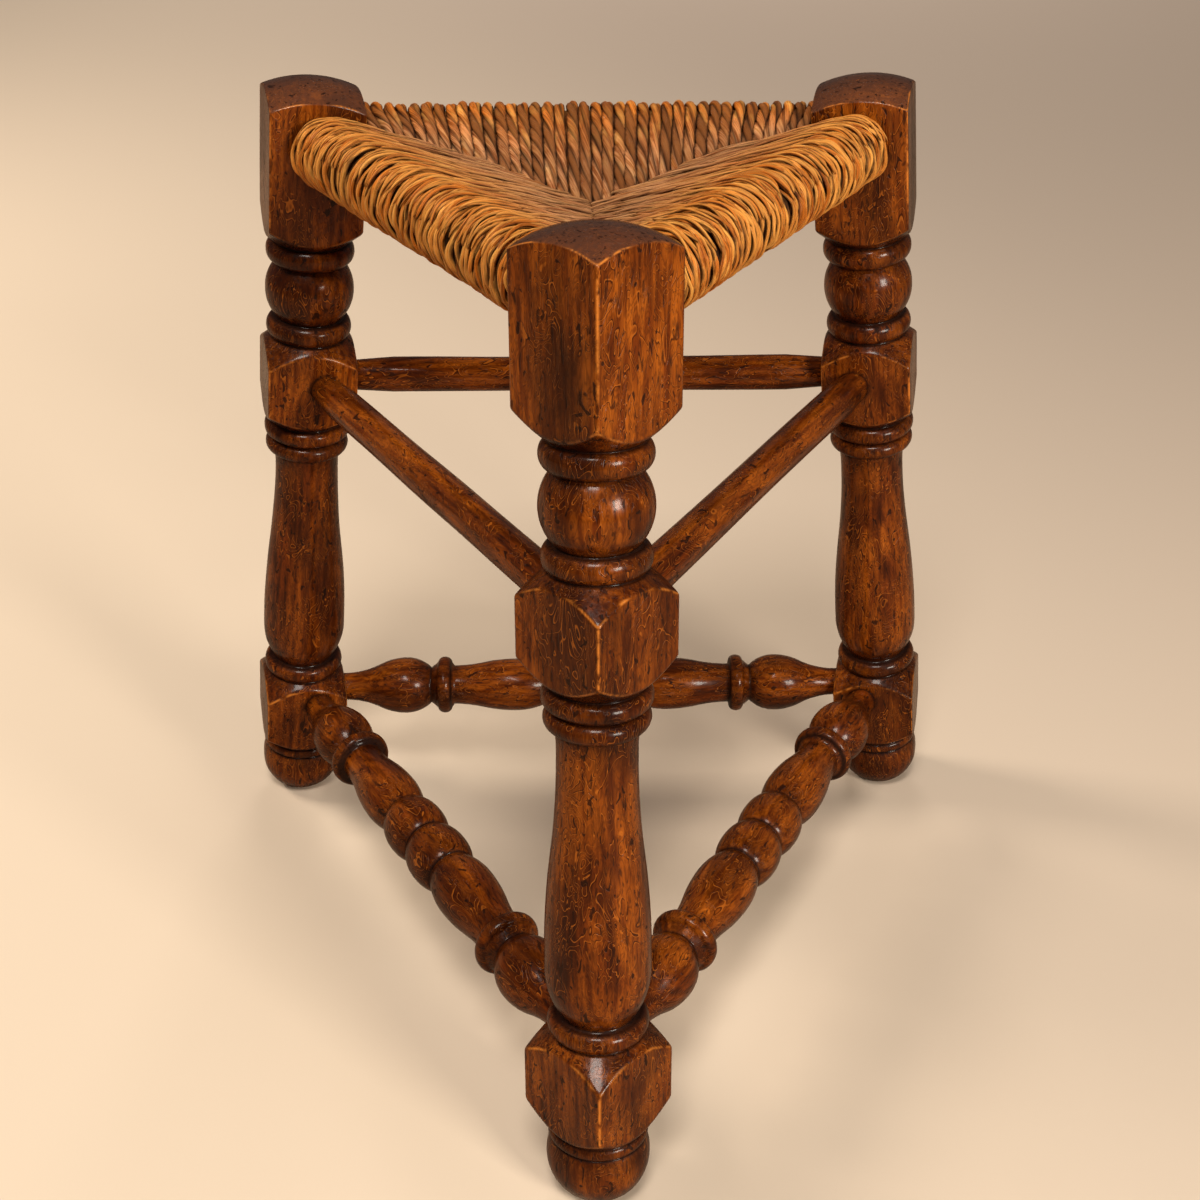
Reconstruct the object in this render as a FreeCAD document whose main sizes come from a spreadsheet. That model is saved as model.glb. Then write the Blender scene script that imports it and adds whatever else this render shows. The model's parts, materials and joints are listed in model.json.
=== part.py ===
import FreeCAD, Part
import math
import os

import Sketcher

# A three-legged stool with a rush seat. Three legs stand on the corners of an equal-sided triangle, lean
# inward as they rise, and are turned from square stock set with one corner outward. Round seat rails and
# two rows of stretchers join them. Millimetres, +Z up, the floor at zero, the front leg towards -Y.

sizes = {
    # Stance
    "foot_circle": 214.5,
    "rake_angle": 7.0,
    # Leg, across
    "stock_width": 48.0,
    "foot_radius": 24.0,
    "foot_ring_radius": 23.2,
    "base_ring_radius": 23.0,
    "vase_base_radius": 17.0,
    "vase_radius": 24.0,
    "vase_neck_radius": 17.4,
    "lower_bead_radius": 22.9,
    "upper_bead_radius": 23.8,
    "collar_radius": 22.8,
    "ball_radius": 23.6,
    "crown_ring_radius": 23.3,
    "ring_quirk_radius": 20.6,
    # Leg, along, from the floor up
    "foot_centre_rise": 20.0,
    "foot_quirk_rise": 30.0,
    "foot_ring_length": 6.5,
    "shoulder_length": 12.0,
    "low_block_length": 27.0,
    "base_ring_length": 10.0,
    "vase_belly_length": 22.5,
    "vase_swell_length": 58.0,
    "vase_hollow_length": 39.0,
    "vase_neck_length": 22.5,
    "lower_bead_length": 10.0,
    "upper_bead_length": 10.0,
    "middle_block_length": 27.0,
    "collar_length": 11.0,
    "ball_length": 32.0,
    "crown_ring_length": 12.0,
    "top_block_length": 62.0,
    "dome_height": 10.0,
    # Fit of the round tenons in the blocks
    "joint_gap": 0.15,
    "mitre_gap": 0.3,
    "overrun": 2.0,
    # Seat rails
    "rail_drop": 21.0,
    "rail_radius": 9.5,
    # Upper stretchers
    "upper_radius": 9.5,
    "upper_tenon_radius": 8.1,
    "upper_taper_length": 22.0,
    # Lower stretchers, from the middle out
    "lower_rise": 8.0,
    "bead_radius": 16.6,
    "bead_quirk_radius": 12.6,
    "bead_length": 28.0,
    "spindle_radius": 16.1,
    "spindle_base_length": 18.0,
    "spindle_swell_length": 20.0,
    "spindle_hollow_length": 20.0,
    "spindle_neck_radius": 11.9,
    "disc_radius": 17.2,
    "disc_flank_radius": 14.6,
    "disc_length": 12.5,
    "disc_flank_length": 4.2,
    "bulb_quirk_radius": 10.8,
    "bulb_radius": 17.0,
    "bulb_base_length": 15.5,
    "bulb_swell_length": 15.0,
    "bulb_hollow_length": 17.0,
    "lower_neck_length": 7.5,
    "lower_tenon_radius": 8.2,
    # Rush seat
    "rush_thickness": 6.0,
    "roll_padding": 1.6,
    "roll_overhang": 5.0,
    "rush_ridge": 1.6,
    "rush_gap": 0.4,
    "seat_dip": 31.0,
    "seat_middle_thickness": 17.0,
    "post_gap": 0.3,
}

# Stretches of the lower stretcher's turning, from the middle out to the block.
lower_turning = (
    "bead_length",
    "spindle_base_length",
    "spindle_swell_length",
    "spindle_hollow_length",
    "disc_length",
    "bulb_base_length",
    "bulb_swell_length",
    "bulb_hollow_length",
    "lower_neck_length",
)

# Cords that the solids show on each rail between the posts, and those that run on into the posts' corners.
course_count = 24
corner_course_count = 3

# How far each leg and each side is turned about the upright through the stool's middle, in degrees.
leg_turns = {"front": -90, "rear_left": 150, "rear_right": 30}
side_turns = {"rear": 90, "left": 210, "right": -30}

# Angles of the equal-sided plan: a side leaves its leg half of 60 degrees off the way to the middle, and
# meets the face of the square block 15 degrees off square.
mitre_angle = 30
face_angle = 45 - mitre_angle
quarter_turn = 90


class Size:
    """A size that knows both its present value and the expression that gives it."""

    def __init__(self, value, text):
        self.value = value
        self.text = text

    def joined(self, sign, other, value):
        return Size(value, "(" + self.text + " " + sign + " " + other.text + ")")

    def __add__(self, other):
        other = as_size(other)
        return self.joined("+", other, self.value + other.value)

    def __sub__(self, other):
        other = as_size(other)
        return self.joined("-", other, self.value - other.value)

    def __mul__(self, other):
        other = as_size(other)
        return self.joined("*", other, self.value * other.value)

    def __truediv__(self, other):
        other = as_size(other)
        return self.joined("/", other, self.value / other.value)

    def __neg__(self):
        return as_size(0) - self


def as_size(number):
    """The number as a size, or the size that it already is."""
    if isinstance(number, Size):
        return number
    return Size(float(number), "(" + repr(number) + ")")


def root_of(size):
    size = as_size(size)
    return Size(math.sqrt(size.value), "sqrt(" + size.text + ")")


def sine(degrees):
    degrees = as_size(degrees)
    return Size(math.sin(math.radians(degrees.value)), "sin(" + degrees.text + ")")


def cosine(degrees):
    degrees = as_size(degrees)
    return Size(math.cos(math.radians(degrees.value)), "cos(" + degrees.text + ")")


def arc_radius(half_chord, rise):
    """Radius of the arc that rises this far over half its chord."""
    return (half_chord * half_chord + rise * rise) / (rise * 2)


def turn_radius(crest, neck, swell, hollow):
    """Radius at which the round swell from the crest runs smoothly into the hollow from the neck."""
    return crest - (crest - neck) * swell / (swell + hollow)


def write_sheet(doc):
    """Writes the driving sizes to the sheet and gives them back, ready for expressions."""
    sheet = doc.addObject("Spreadsheet::Sheet", "Sizes")
    for row, (name, value) in enumerate(sizes.items(), start=1):
        sheet.set("A" + str(row), name)
        sheet.set("B" + str(row), str(value))
        sheet.setAlias("B" + str(row), name)
    doc.recompute()
    return {name: Size(float(sheet.get(name)), "Sizes." + name) for name in sizes}


def bind(item, path, size):
    item.setExpression(path, as_size(size).text)


def place(item, east, north, up, yaw, pitch=0):
    """Moves a piece to a point, turned about the upright after it was tipped."""
    base = "; ".join(as_size(part).text for part in (east, north, up))
    turn = "rotationz(" + as_size(yaw).text + ") * rotationy(" + as_size(pitch).text + ")"
    item.setExpression("Placement", "placement(vector(" + base + "); " + turn + ")")


def new_sketch(body, name, role):
    """A sketch on one of the body's own planes."""
    plane = [item for item in body.Origin.OriginFeatures if item.Role == role][0]
    sketch = body.newObject("Sketcher::SketchObject", name)
    sketch.AttachmentSupport = [(plane, "")]
    sketch.MapMode = "FlatFace"
    return sketch


def arc_middle(start, end, bend):
    """Middle of an arc. With a positive bend it bulges to the right of the way from start to end."""
    way = end - start
    half = way.Length / 2
    side = FreeCAD.Vector(way.y, -way.x, 0).normalize()
    rise = abs(bend) - math.sqrt(bend * bend - half * half)
    return start + way * 0.5 + side * math.copysign(rise, bend)


def hold_corner(sketch, edge, end, across, along):
    """Holds one end of an edge at its sizes from the sketch's axes."""
    for kind, size, axis in (("DistanceX", across, -2), ("DistanceY", along, -1)):
        if size.value == 0:
            sketch.addConstraint(Sketcher.Constraint("PointOnObject", edge, end, axis))
            continue
        held = sketch.addConstraint(Sketcher.Constraint(kind, edge, end, size.value))
        sketch.setExpression("Constraints[" + str(held) + "]", size.text)


def draw_loop(sketch, outline):
    """Draws a closed outline of corners, each a size across, a size along and a bend.

    The bend is the radius of the arc to the next corner, or None for a straight line.
    """
    first = len(sketch.Geometry)
    points = [FreeCAD.Vector(across.value, along.value, 0) for across, along, bend in outline]
    following = points[1:] + points[:1]
    starts = []
    for (across, along, bend), here, there in zip(outline, points, following):
        if bend is None:
            sketch.addGeometry(Part.LineSegment(here, there), False)
            starts.append(1)
            continue
        # A sketch counts every arc anticlockwise, which is the way on only where it bulges to the right
        middle = arc_middle(here, there, bend.value)
        onward = bend.value > 0
        arc = Part.Arc(here, middle, there) if onward else Part.Arc(there, middle, here)
        sketch.addGeometry(arc, False)
        starts.append(1 if onward else 2)
    for number, (across, along, bend) in enumerate(outline):
        edge = first + number
        after = (number + 1) % len(outline)
        last = 3 - starts[number]
        sketch.addConstraint(Sketcher.Constraint("Coincident", edge, last, first + after, starts[after]))
        hold_corner(sketch, edge, starts[number], across, along)
        if bend is not None:
            radius = bend if bend.value > 0 else -bend
            held = sketch.addConstraint(Sketcher.Constraint("Radius", edge, radius.value))
            sketch.setExpression("Constraints[" + str(held) + "]", radius.text)


def leg_levels(size):
    """Where each stretch of a leg starts, stacked along it from the floor."""
    steps = (
        ("foot_ring", "foot_quirk_rise"),
        ("low_shoulder", "foot_ring_length"),
        ("low_corner", "shoulder_length"),
        ("low_corner_end", "low_block_length"),
        ("base_ring", "shoulder_length"),
        ("vase", "base_ring_length"),
        ("vase_crest", "vase_belly_length"),
        ("vase_hollow", "vase_swell_length"),
        ("vase_neck", "vase_hollow_length"),
        ("lower_bead", "vase_neck_length"),
        ("upper_bead", "lower_bead_length"),
        ("middle_shoulder", "upper_bead_length"),
        ("middle_corner", "shoulder_length"),
        ("middle_corner_end", "middle_block_length"),
        ("collar", "shoulder_length"),
        ("ball", "collar_length"),
        ("crown_ring", "ball_length"),
        ("top_shoulder", "crown_ring_length"),
        ("top_corner", "shoulder_length"),
        ("top_corner_end", "top_block_length"),
        ("dome", "dome_height"),
    )
    level = {}
    height = as_size(0)
    for name, length in steps:
        height = height + size[length]
        level[name] = height
    return level


def half_diagonal(size):
    return size["stock_width"] / root_of(2)


def leg_circle(size, height):
    """How far a leg's axis stands from the stool's middle, at a height along the leg."""
    return size["foot_circle"] - height * sine(size["rake_angle"])


def middle_north(size, level):
    """How far north of the origin the middle of the legs lies, so that the origin centres the whole."""
    circle = leg_circle(size, level["low_corner"])
    front_reach = circle + half_diagonal(size) * cosine(size["rake_angle"])
    rear_reach = circle * sine(mitre_angle) + half_diagonal(size) * cosine(mitre_angle)
    return (front_reach - rear_reach) / 2


def shoulder_start(size, corner, shoulder, quirk_radius):
    """Point beyond a block's corners where the turner's sloping cut comes in towards the quirk."""
    slope = (shoulder - corner) / (half_diagonal(size) - quirk_radius)
    return half_diagonal(size) + size["overrun"], corner - slope * size["overrun"], None


def ring(size, name, level):
    """A rounded ring, given as the corner where its arc starts."""
    quirk = size["ring_quirk_radius"]
    return quirk, level, arc_radius(size[name + "_length"] / 2, size[name + "_radius"] - quirk)


def foot_waste(size, level):
    """What the lathe takes off round the ball foot and its ring."""
    quirk_rise = size["foot_quirk_rise"] - size["foot_centre_rise"]
    quirk = root_of(size["foot_radius"] * size["foot_radius"] - quirk_rise * quirk_rise)
    ring_bend = arc_radius(size["foot_ring_length"] / 2, size["foot_ring_radius"] - quirk)
    bottom = size["foot_centre_rise"] - size["foot_radius"]
    shoulder = shoulder_start(size, level["low_corner"], level["low_shoulder"], quirk)
    return [
        (as_size(0), bottom, size["foot_radius"]),
        (size["foot_radius"], size["foot_centre_rise"], size["foot_radius"]),
        (quirk, level["foot_ring"], ring_bend),
        (quirk, level["low_shoulder"], None),
        shoulder,
        (shoulder[0], bottom - size["overrun"], None),
        (as_size(0), bottom - size["overrun"], None),
    ]


def vase_waste(size, level):
    """What the lathe takes off round the base ring, the long vase and the two beads above it."""
    quirk = size["ring_quirk_radius"]
    crest = size["vase_radius"]
    neck = size["vase_neck_radius"]
    hollow_radius = turn_radius(crest, neck, size["vase_swell_length"], size["vase_hollow_length"])
    belly = arc_radius(size["vase_belly_length"], crest - size["vase_base_radius"])
    swell = arc_radius(size["vase_swell_length"], crest - hollow_radius)
    hollow = arc_radius(size["vase_hollow_length"], hollow_radius - neck)
    return [
        shoulder_start(size, level["low_corner_end"], level["base_ring"], quirk),
        ring(size, "base_ring", level["base_ring"]),
        (quirk, level["vase"], None),
        (size["vase_base_radius"], level["vase"], belly),
        (crest, level["vase_crest"], swell),
        (hollow_radius, level["vase_hollow"], -hollow),
        (neck, level["vase_neck"], None),
        (neck, level["lower_bead"], None),
        ring(size, "lower_bead", level["lower_bead"]),
        ring(size, "upper_bead", level["upper_bead"]),
        (quirk, level["middle_shoulder"], None),
        shoulder_start(size, level["middle_corner"], level["middle_shoulder"], quirk),
    ]


def ball_waste(size, level):
    """What the lathe takes off round the collar, the ball and the crown ring."""
    quirk = size["ring_quirk_radius"]
    ball = size["ball_radius"]
    half_ball = size["ball_length"] / 2
    deep = root_of(ball * ball - half_ball * half_ball)
    return [
        shoulder_start(size, level["middle_corner_end"], level["collar"], quirk),
        ring(size, "collar", level["collar"]),
        (quirk, level["ball"], None),
        (deep, level["ball"], ball),
        (deep, level["crown_ring"], None),
        ring(size, "crown_ring", level["crown_ring"]),
        (quirk, level["top_shoulder"], None),
        shoulder_start(size, level["top_corner"], level["top_shoulder"], quirk),
    ]


def dome_waste(size, level):
    """What the lathe takes off above the domed top of a leg."""
    reach = half_diagonal(size) + size["overrun"]
    dome = arc_radius(half_diagonal(size), size["dome_height"])
    edge = level["dome"] - dome + root_of(dome * dome - reach * reach)
    above = level["dome"] + size["overrun"]
    return [
        (as_size(0), level["dome"], -dome),
        (reach, edge, None),
        (reach, above, None),
        (as_size(0), above, None),
    ]


def square_post(doc, name, half, bottom, top):
    """A body that is a square post with a corner towards its own +X."""
    body = doc.addObject("PartDesign::Body", name)
    square = new_sketch(body, name + "_square", "XY_Plane")
    zero = as_size(0)
    draw_loop(square, [(half, zero, None), (zero, half, None), (-half, zero, None), (zero, -half, None)])
    bind(square, "AttachmentOffset.Base.z", bottom)
    pad = body.newObject("PartDesign::Pad", name + "_pad")
    pad.Profile = square
    bind(pad, "Length", top - bottom)
    return body


def stand_as_leg(body, size, level, turn):
    """Stands a body, made upright about its own axis, where a leg stands."""
    east = size["foot_circle"] * cosine(turn)
    north = middle_north(size, level) + size["foot_circle"] * sine(turn)
    place(body, east, north, 0, turn, -size["rake_angle"])


def turned_blank(doc, size, level, place_name, turn):
    """Square stock of one leg with everything turned on it, before it is mortised."""
    bottom = size["foot_centre_rise"] - size["foot_radius"]
    name = "blank_" + place_name
    body = square_post(doc, name, half_diagonal(size), bottom - size["overrun"], level["dome"])
    waste = new_sketch(body, name + "_waste", "XZ_Plane")
    draw_loop(waste, foot_waste(size, level))
    draw_loop(waste, vase_waste(size, level))
    draw_loop(waste, ball_waste(size, level))
    draw_loop(waste, dome_waste(size, level))
    lathe = body.newObject("PartDesign::Groove", name + "_lathe")
    lathe.Profile = waste
    lathe.ReferenceAxis = (waste, ["V_Axis"])
    lathe.Angle = 360
    body.Tip = lathe
    stand_as_leg(body, size, level, turn)
    return body


def side_span(size, height):
    """Distance between the axes of two legs at a height along them."""
    return leg_circle(size, height) * cosine(mitre_angle) * 2


def block_face(size):
    """How far a leg's axis is from its block's face, along a side."""
    return size["stock_width"] / 2 / cosine(face_angle)


def set_in_side(item, size, level, height, turn):
    """Lays a piece, made along X about its middle with +Y towards the stool's middle, in one side."""
    out = leg_circle(size, height) * sine(mitre_angle)
    north = middle_north(size, level) + out * sine(turn)
    place(item, out * cosine(turn), north, height * cosine(size["rake_angle"]), turn + quarter_turn)


def mortises(doc, size, level, name, height, turn, radius):
    """One round bore from leg axis to leg axis, which drills both blocks of a side in line."""
    bore = doc.addObject("Part::Cylinder", name)
    length = side_span(size, height) + size["mitre_gap"] * 2
    bind(bore, "Radius", radius + size["joint_gap"])
    bind(bore, "Height", length)
    out = leg_circle(size, height) * sine(mitre_angle)
    yaw = turn + quarter_turn
    east = out * cosine(turn) - length / 2 * cosine(yaw)
    north = middle_north(size, level) + out * sine(turn) - length / 2 * sine(yaw)
    place(bore, east, north, height * cosine(size["rake_angle"]), yaw, quarter_turn)
    return bore


def both_halves(half):
    """The outline of a turned piece from end to end, from its half between one end and the middle."""
    bends = [None] + [bend for across, along, bend in half[:-1]]
    other = [(-across, along, bend) for (across, along, _), bend in zip(half, bends)]
    other.reverse()
    if half[-1][0].value == 0:
        other[0] = half[-1][:2] + other[0][2:]
        return half[:-1] + other
    return half + other


def turned_piece(doc, size, name, span, tenon_radius, half):
    """A piece turned about X, with the tenon at each end cut to a mitre against its neighbour's."""
    body = doc.addObject("PartDesign::Body", name)
    profile = new_sketch(body, name + "_profile", "XY_Plane")
    draw_loop(profile, both_halves(half))
    turning = body.newObject("PartDesign::Revolution", name + "_turning")
    turning.Profile = profile
    turning.ReferenceAxis = (profile, ["H_Axis"])
    turning.Angle = 360

    mitre = new_sketch(body, name + "_mitre", "XY_Plane")
    slope = sine(mitre_angle) / cosine(mitre_angle)
    reach = tenon_radius + size["overrun"]
    tip = span / 2 - size["mitre_gap"] / sine(mitre_angle) / 2
    beyond = span / 2 + size["overrun"]
    for side in (1, -1):
        corners = [
            ((tip - reach / slope) * side, reach, None),
            (beyond * side, (tip - beyond) * slope, None),
            (beyond * side, reach, None),
        ]
        draw_loop(mitre, corners)
    cut = body.newObject("PartDesign::Pocket", name + "_mitres")
    cut.Profile = mitre
    cut.Midplane = True
    cut.Type = "ThroughAll"
    body.Tip = cut
    return body


def rail_half(size, span):
    """Half of a seat rail, a plain dowel."""
    return [
        (-span / 2, as_size(0), None),
        (-span / 2, size["rail_radius"], None),
    ]


def upper_half(size, span):
    """Half of an upper stretcher, a dowel that tapers to its tenon."""
    face = block_face(size) - span / 2
    return [
        (-span / 2, as_size(0), None),
        (-span / 2, size["upper_tenon_radius"], None),
        (face, size["upper_tenon_radius"], None),
        (face + size["upper_taper_length"], size["upper_radius"], None),
    ]


def spread_lengths(size, names, room):
    """The named lengths, all stretched alike until together they fill the room."""
    whole = as_size(0)
    for name in names:
        whole = whole + size[name]
    return {name: size[name] * room / whole for name in names}


def spindle_half(size, span):
    """Half of a lower stretcher: neck, bulb, disc, vase and bead, spread over what shows of it."""
    shown = span / 2 - block_face(size)
    length = spread_lengths(size, lower_turning, shown)
    bead_end = -length["bead_length"]
    crest = bead_end - length["spindle_base_length"]
    hollow = crest - length["spindle_swell_length"]
    disc = hollow - length["spindle_hollow_length"]
    disc_end = disc - length["disc_length"]
    bulb_crest = disc_end - length["bulb_base_length"]
    bulb_hollow = bulb_crest - length["bulb_swell_length"]
    neck_end = bulb_hollow - length["bulb_hollow_length"]

    tenon = size["lower_tenon_radius"]
    bulb = size["bulb_radius"]
    bulb_quirk = size["bulb_quirk_radius"]
    bulb_turn = turn_radius(bulb, tenon, length["bulb_swell_length"], length["bulb_hollow_length"])
    rim = size["disc_radius"]
    flank = size["disc_flank_radius"]
    flank_length = length["disc_length"] * size["disc_flank_length"] / size["disc_length"]
    rim_half = (length["disc_length"] - flank_length) / 2
    vase = size["spindle_radius"]
    thin = size["spindle_neck_radius"]
    vase_turn = turn_radius(vase, thin, length["spindle_swell_length"], length["spindle_hollow_length"])
    quirk = size["bead_quirk_radius"]
    return [
        (-span / 2, as_size(0), None),
        (-span / 2, tenon, None),
        (neck_end, tenon, arc_radius(length["bulb_hollow_length"], bulb_turn - tenon)),
        (bulb_hollow, bulb_turn, -arc_radius(length["bulb_swell_length"], bulb - bulb_turn)),
        (bulb_crest, bulb, -arc_radius(length["bulb_base_length"], bulb - bulb_quirk)),
        (disc_end, bulb_quirk, None),
        (disc_end + flank_length, flank, -arc_radius(rim_half, rim - flank)),
        (disc, flank, None),
        (disc, thin, arc_radius(length["spindle_hollow_length"], vase_turn - thin)),
        (hollow, vase_turn, -arc_radius(length["spindle_swell_length"], vase - vase_turn)),
        (crest, vase, -arc_radius(length["spindle_base_length"], vase - quirk)),
        (bead_end, quirk, -arc_radius(length["bead_length"] / 2, size["bead_radius"] - quirk)),
        (as_size(0), quirk, None),
    ]


def roll_radius(size):
    """Radius of the roll that the rush and the packing under it make round a rail."""
    return size["rail_radius"] + size["rush_gap"] + size["roll_padding"] + size["rush_thickness"]


def rush_section(size, apothem, east, inset):
    """Section of the rush across a rail: over the top, round the rail and back underneath."""
    middle = roll_radius(size)
    overhang = size["roll_overhang"].value
    roll = middle.value - inset
    top = (middle - size["seat_dip"]).value - inset
    bottom = (middle - size["seat_dip"] - size["seat_middle_thickness"]).value + inset

    def on_roll(turn):
        return FreeCAD.Vector(east, roll * math.cos(turn) - overhang, roll * math.sin(turn))

    def leaves_roll(height, side):
        away = math.hypot(height, apothem + overhang)
        return math.atan2(height, apothem + overhang) + side * math.acos(roll / away)

    over = leaves_roll(top, 1)
    under = leaves_roll(bottom, -1) + math.tau
    outside = math.pi
    inner_top = FreeCAD.Vector(east, apothem, top)
    inner_bottom = FreeCAD.Vector(east, apothem, bottom)
    edges = [
        Part.LineSegment(inner_top, on_roll(over)),
        Part.Arc(on_roll(over), on_roll((over + outside) / 2), on_roll(outside)),
        Part.Arc(on_roll(outside), on_roll((outside + under) / 2), on_roll(under)),
        Part.LineSegment(on_roll(under), inner_bottom),
        Part.LineSegment(inner_bottom, inner_top),
    ]
    return Part.Wire([edge.toShape() for edge in edges])


def sector_wedge(size, apothem, span):
    """The third of the plan that belongs to one side, cut back a little from its neighbours.

    It ends inside the posts, level with the corners that they turn towards the outside of this side.
    """
    outside = roll_radius(size) + size["roll_overhang"] + size["overrun"]
    height = size["seat_dip"] + size["seat_middle_thickness"] + outside
    gap = (size["mitre_gap"] / cosine(mitre_angle) / 2).value
    half = (apothem - gap + outside.value) / math.tan(math.radians(mitre_angle))
    corners = [(0, apothem - gap), (-half, -outside.value), (half, -outside.value)]
    points = [FreeCAD.Vector(across, inward, -height.value) for across, inward in corners]
    face = Part.Face(Part.makePolygon(points + points[:1]))
    wedge = face.extrude(FreeCAD.Vector(0, 0, 2 * height.value))
    end = span / 2 - (half_diagonal(size) * sine(mitre_angle)).value
    corner = FreeCAD.Vector(-end, -outside.value, -height.value)
    return wedge.common(Part.makeBox(2 * end, apothem + outside.value, 2 * height.value, corner))


def rush_prism(size, apothem, span, inset):
    """The rush section at a depth below its surface, run straight from leg to leg."""
    face = Part.Face(rush_section(size, apothem, -span / 2, inset))
    return face.extrude(FreeCAD.Vector(span, 0, 0))


def rush_courses(size, apothem, span):
    """One side's rush: ridged by its cords outside, and hollow for the rail and the stuffing."""
    pitch = (span - 2 * block_face(size).value) / course_count
    half_steps = course_count + 2 * corner_course_count
    sections = []
    for step in range(-half_steps, half_steps + 1):
        furrow = (step + half_steps) % 2 == 0
        inset = size["rush_ridge"].value if furrow else 0
        sections.append(rush_section(size, apothem, step * pitch / 2, inset))
    outer = Part.makeLoft(sections, True, True)
    inner = rush_prism(size, apothem, span + 2 * size["overrun"].value, size["rush_thickness"].value)
    return outer.cut(inner).common(sector_wedge(size, apothem, span))


def rush_stuffing(size, apothem, span):
    """One side's stuffing: the wedge of packing between the upper and the lower rush."""
    inset = (size["rush_thickness"] + size["rush_gap"]).value
    packed = rush_prism(size, apothem, span, inset)
    room = (size["rail_radius"] + size["rush_gap"]).value
    rail = Part.makeCylinder(room, span, FreeCAD.Vector(-span / 2, 0, 0), FreeCAD.Vector(1, 0, 0))
    return packed.cut(rail).common(sector_wedge(size, apothem, span))


def joined_tool(doc, name, pieces):
    tool = doc.addObject("Part::MultiFuse", name)
    tool.Shapes = pieces
    return tool


def cut_piece(doc, name, base, tool):
    piece = doc.addObject("Part::Cut", name)
    piece.Base = base
    piece.Tool = tool
    return piece


def build(doc):
    """Builds the stool and gives back its pieces by name."""
    size = write_sheet(doc)
    level = leg_levels(size)
    rail_height = level["top_corner_end"] - size["rail_drop"]
    upper_height = (level["middle_corner"] + level["middle_corner_end"]) / 2
    lower_height = (level["low_corner"] + level["low_corner_end"]) / 2 + size["lower_rise"]
    rows = {
        "seat_rail": (rail_height, size["rail_radius"], rail_half),
        "upper_stretcher": (upper_height, size["upper_tenon_radius"], upper_half),
        "lower_stretcher": (lower_height, size["lower_tenon_radius"], spindle_half),
    }
    pieces = {}

    # Every side's bores, and the floor that flattens the ball feet
    bores = []
    for row, (height, radius, half) in rows.items():
        for side, turn in side_turns.items():
            name = "mortises_" + row + "_" + side
            bores.append(mortises(doc, size, level, name, height, turn, radius))
    floor = doc.addObject("Part::Box", "floor")
    reach = size["foot_circle"] + size["stock_width"]
    bind(floor, "Length", reach * 2)
    bind(floor, "Width", reach * 2)
    bind(floor, "Height", size["foot_radius"])
    place(floor, -reach, middle_north(size, level) - reach, -size["foot_radius"], 0)
    joinery = joined_tool(doc, "joinery", bores + [floor])

    # Legs
    posts = []
    clear = half_diagonal(size) + size["post_gap"] * root_of(2)
    for name, turn in leg_turns.items():
        blank = turned_blank(doc, size, level, name, turn)
        pieces["leg_" + name] = cut_piece(doc, "leg_" + name, blank, joinery)
        post = square_post(doc, "post_" + name, clear, level["collar"], level["dome"])
        stand_as_leg(post, size, level, turn)
        posts.append(post)
    post_space = joined_tool(doc, "post_space", posts)

    # Seat rails and stretchers
    for row, (height, radius, half) in rows.items():
        span = side_span(size, height)
        for side, turn in side_turns.items():
            name = row + "_" + side
            pieces[name] = turned_piece(doc, size, name, span, radius, half(size, span))
            set_in_side(pieces[name], size, level, height, turn)

    # Rush and its stuffing
    span = side_span(size, rail_height).value
    apothem = (leg_circle(size, rail_height) * sine(mitre_angle)).value
    for side, turn in side_turns.items():
        for name, shape in (
            ("rush_courses_" + side, rush_courses(size, apothem, span)),
            ("rush_stuffing_" + side, rush_stuffing(size, apothem, span)),
        ):
            whole = doc.addObject("Part::Feature", "whole_" + name)
            whole.Shape = shape
            set_in_side(whole, size, level, rail_height, turn)
            pieces[name] = cut_piece(doc, name, whole, post_space)

    doc.recompute()
    return pieces


def check(doc, pieces):
    """Stops before anything is written if an object failed or a piece isn't one sound solid."""
    for item in doc.Objects:
        if "Invalid" in item.State or "Error" in item.State:
            raise RuntimeError(item.Name + " failed: " + str(item.State))
    for name, piece in pieces.items():
        shape = piece.Shape
        if shape.isNull() or not shape.isValid():
            raise RuntimeError(name + " has no sound shape")
        if len(shape.Solids) != 1:
            raise RuntimeError(name + " has " + str(len(shape.Solids)) + " solids")


def main():
    doc = FreeCAD.newDocument("stool")
    pieces = build(doc)
    check(doc, pieces)
    os.makedirs("parts", exist_ok=True)
    for name, piece in pieces.items():
        piece.Label = name
        piece.Shape.exportStep("parts/" + name + ".step")
        print(name, "volume", round(piece.Shape.Volume))


main()
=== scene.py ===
"""Looks of a triangular rush-seat stool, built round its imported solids.

Metres, +Z up, the floor at zero, the front leg towards -Y. Wood is turned from formulas of height and
angle. Every strand of rush is a tube carried along a path that runs over the seat and round a rail.
"""

import json
import logging
import math
from dataclasses import dataclass, field
from enum import Enum
from typing import Callable

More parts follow.
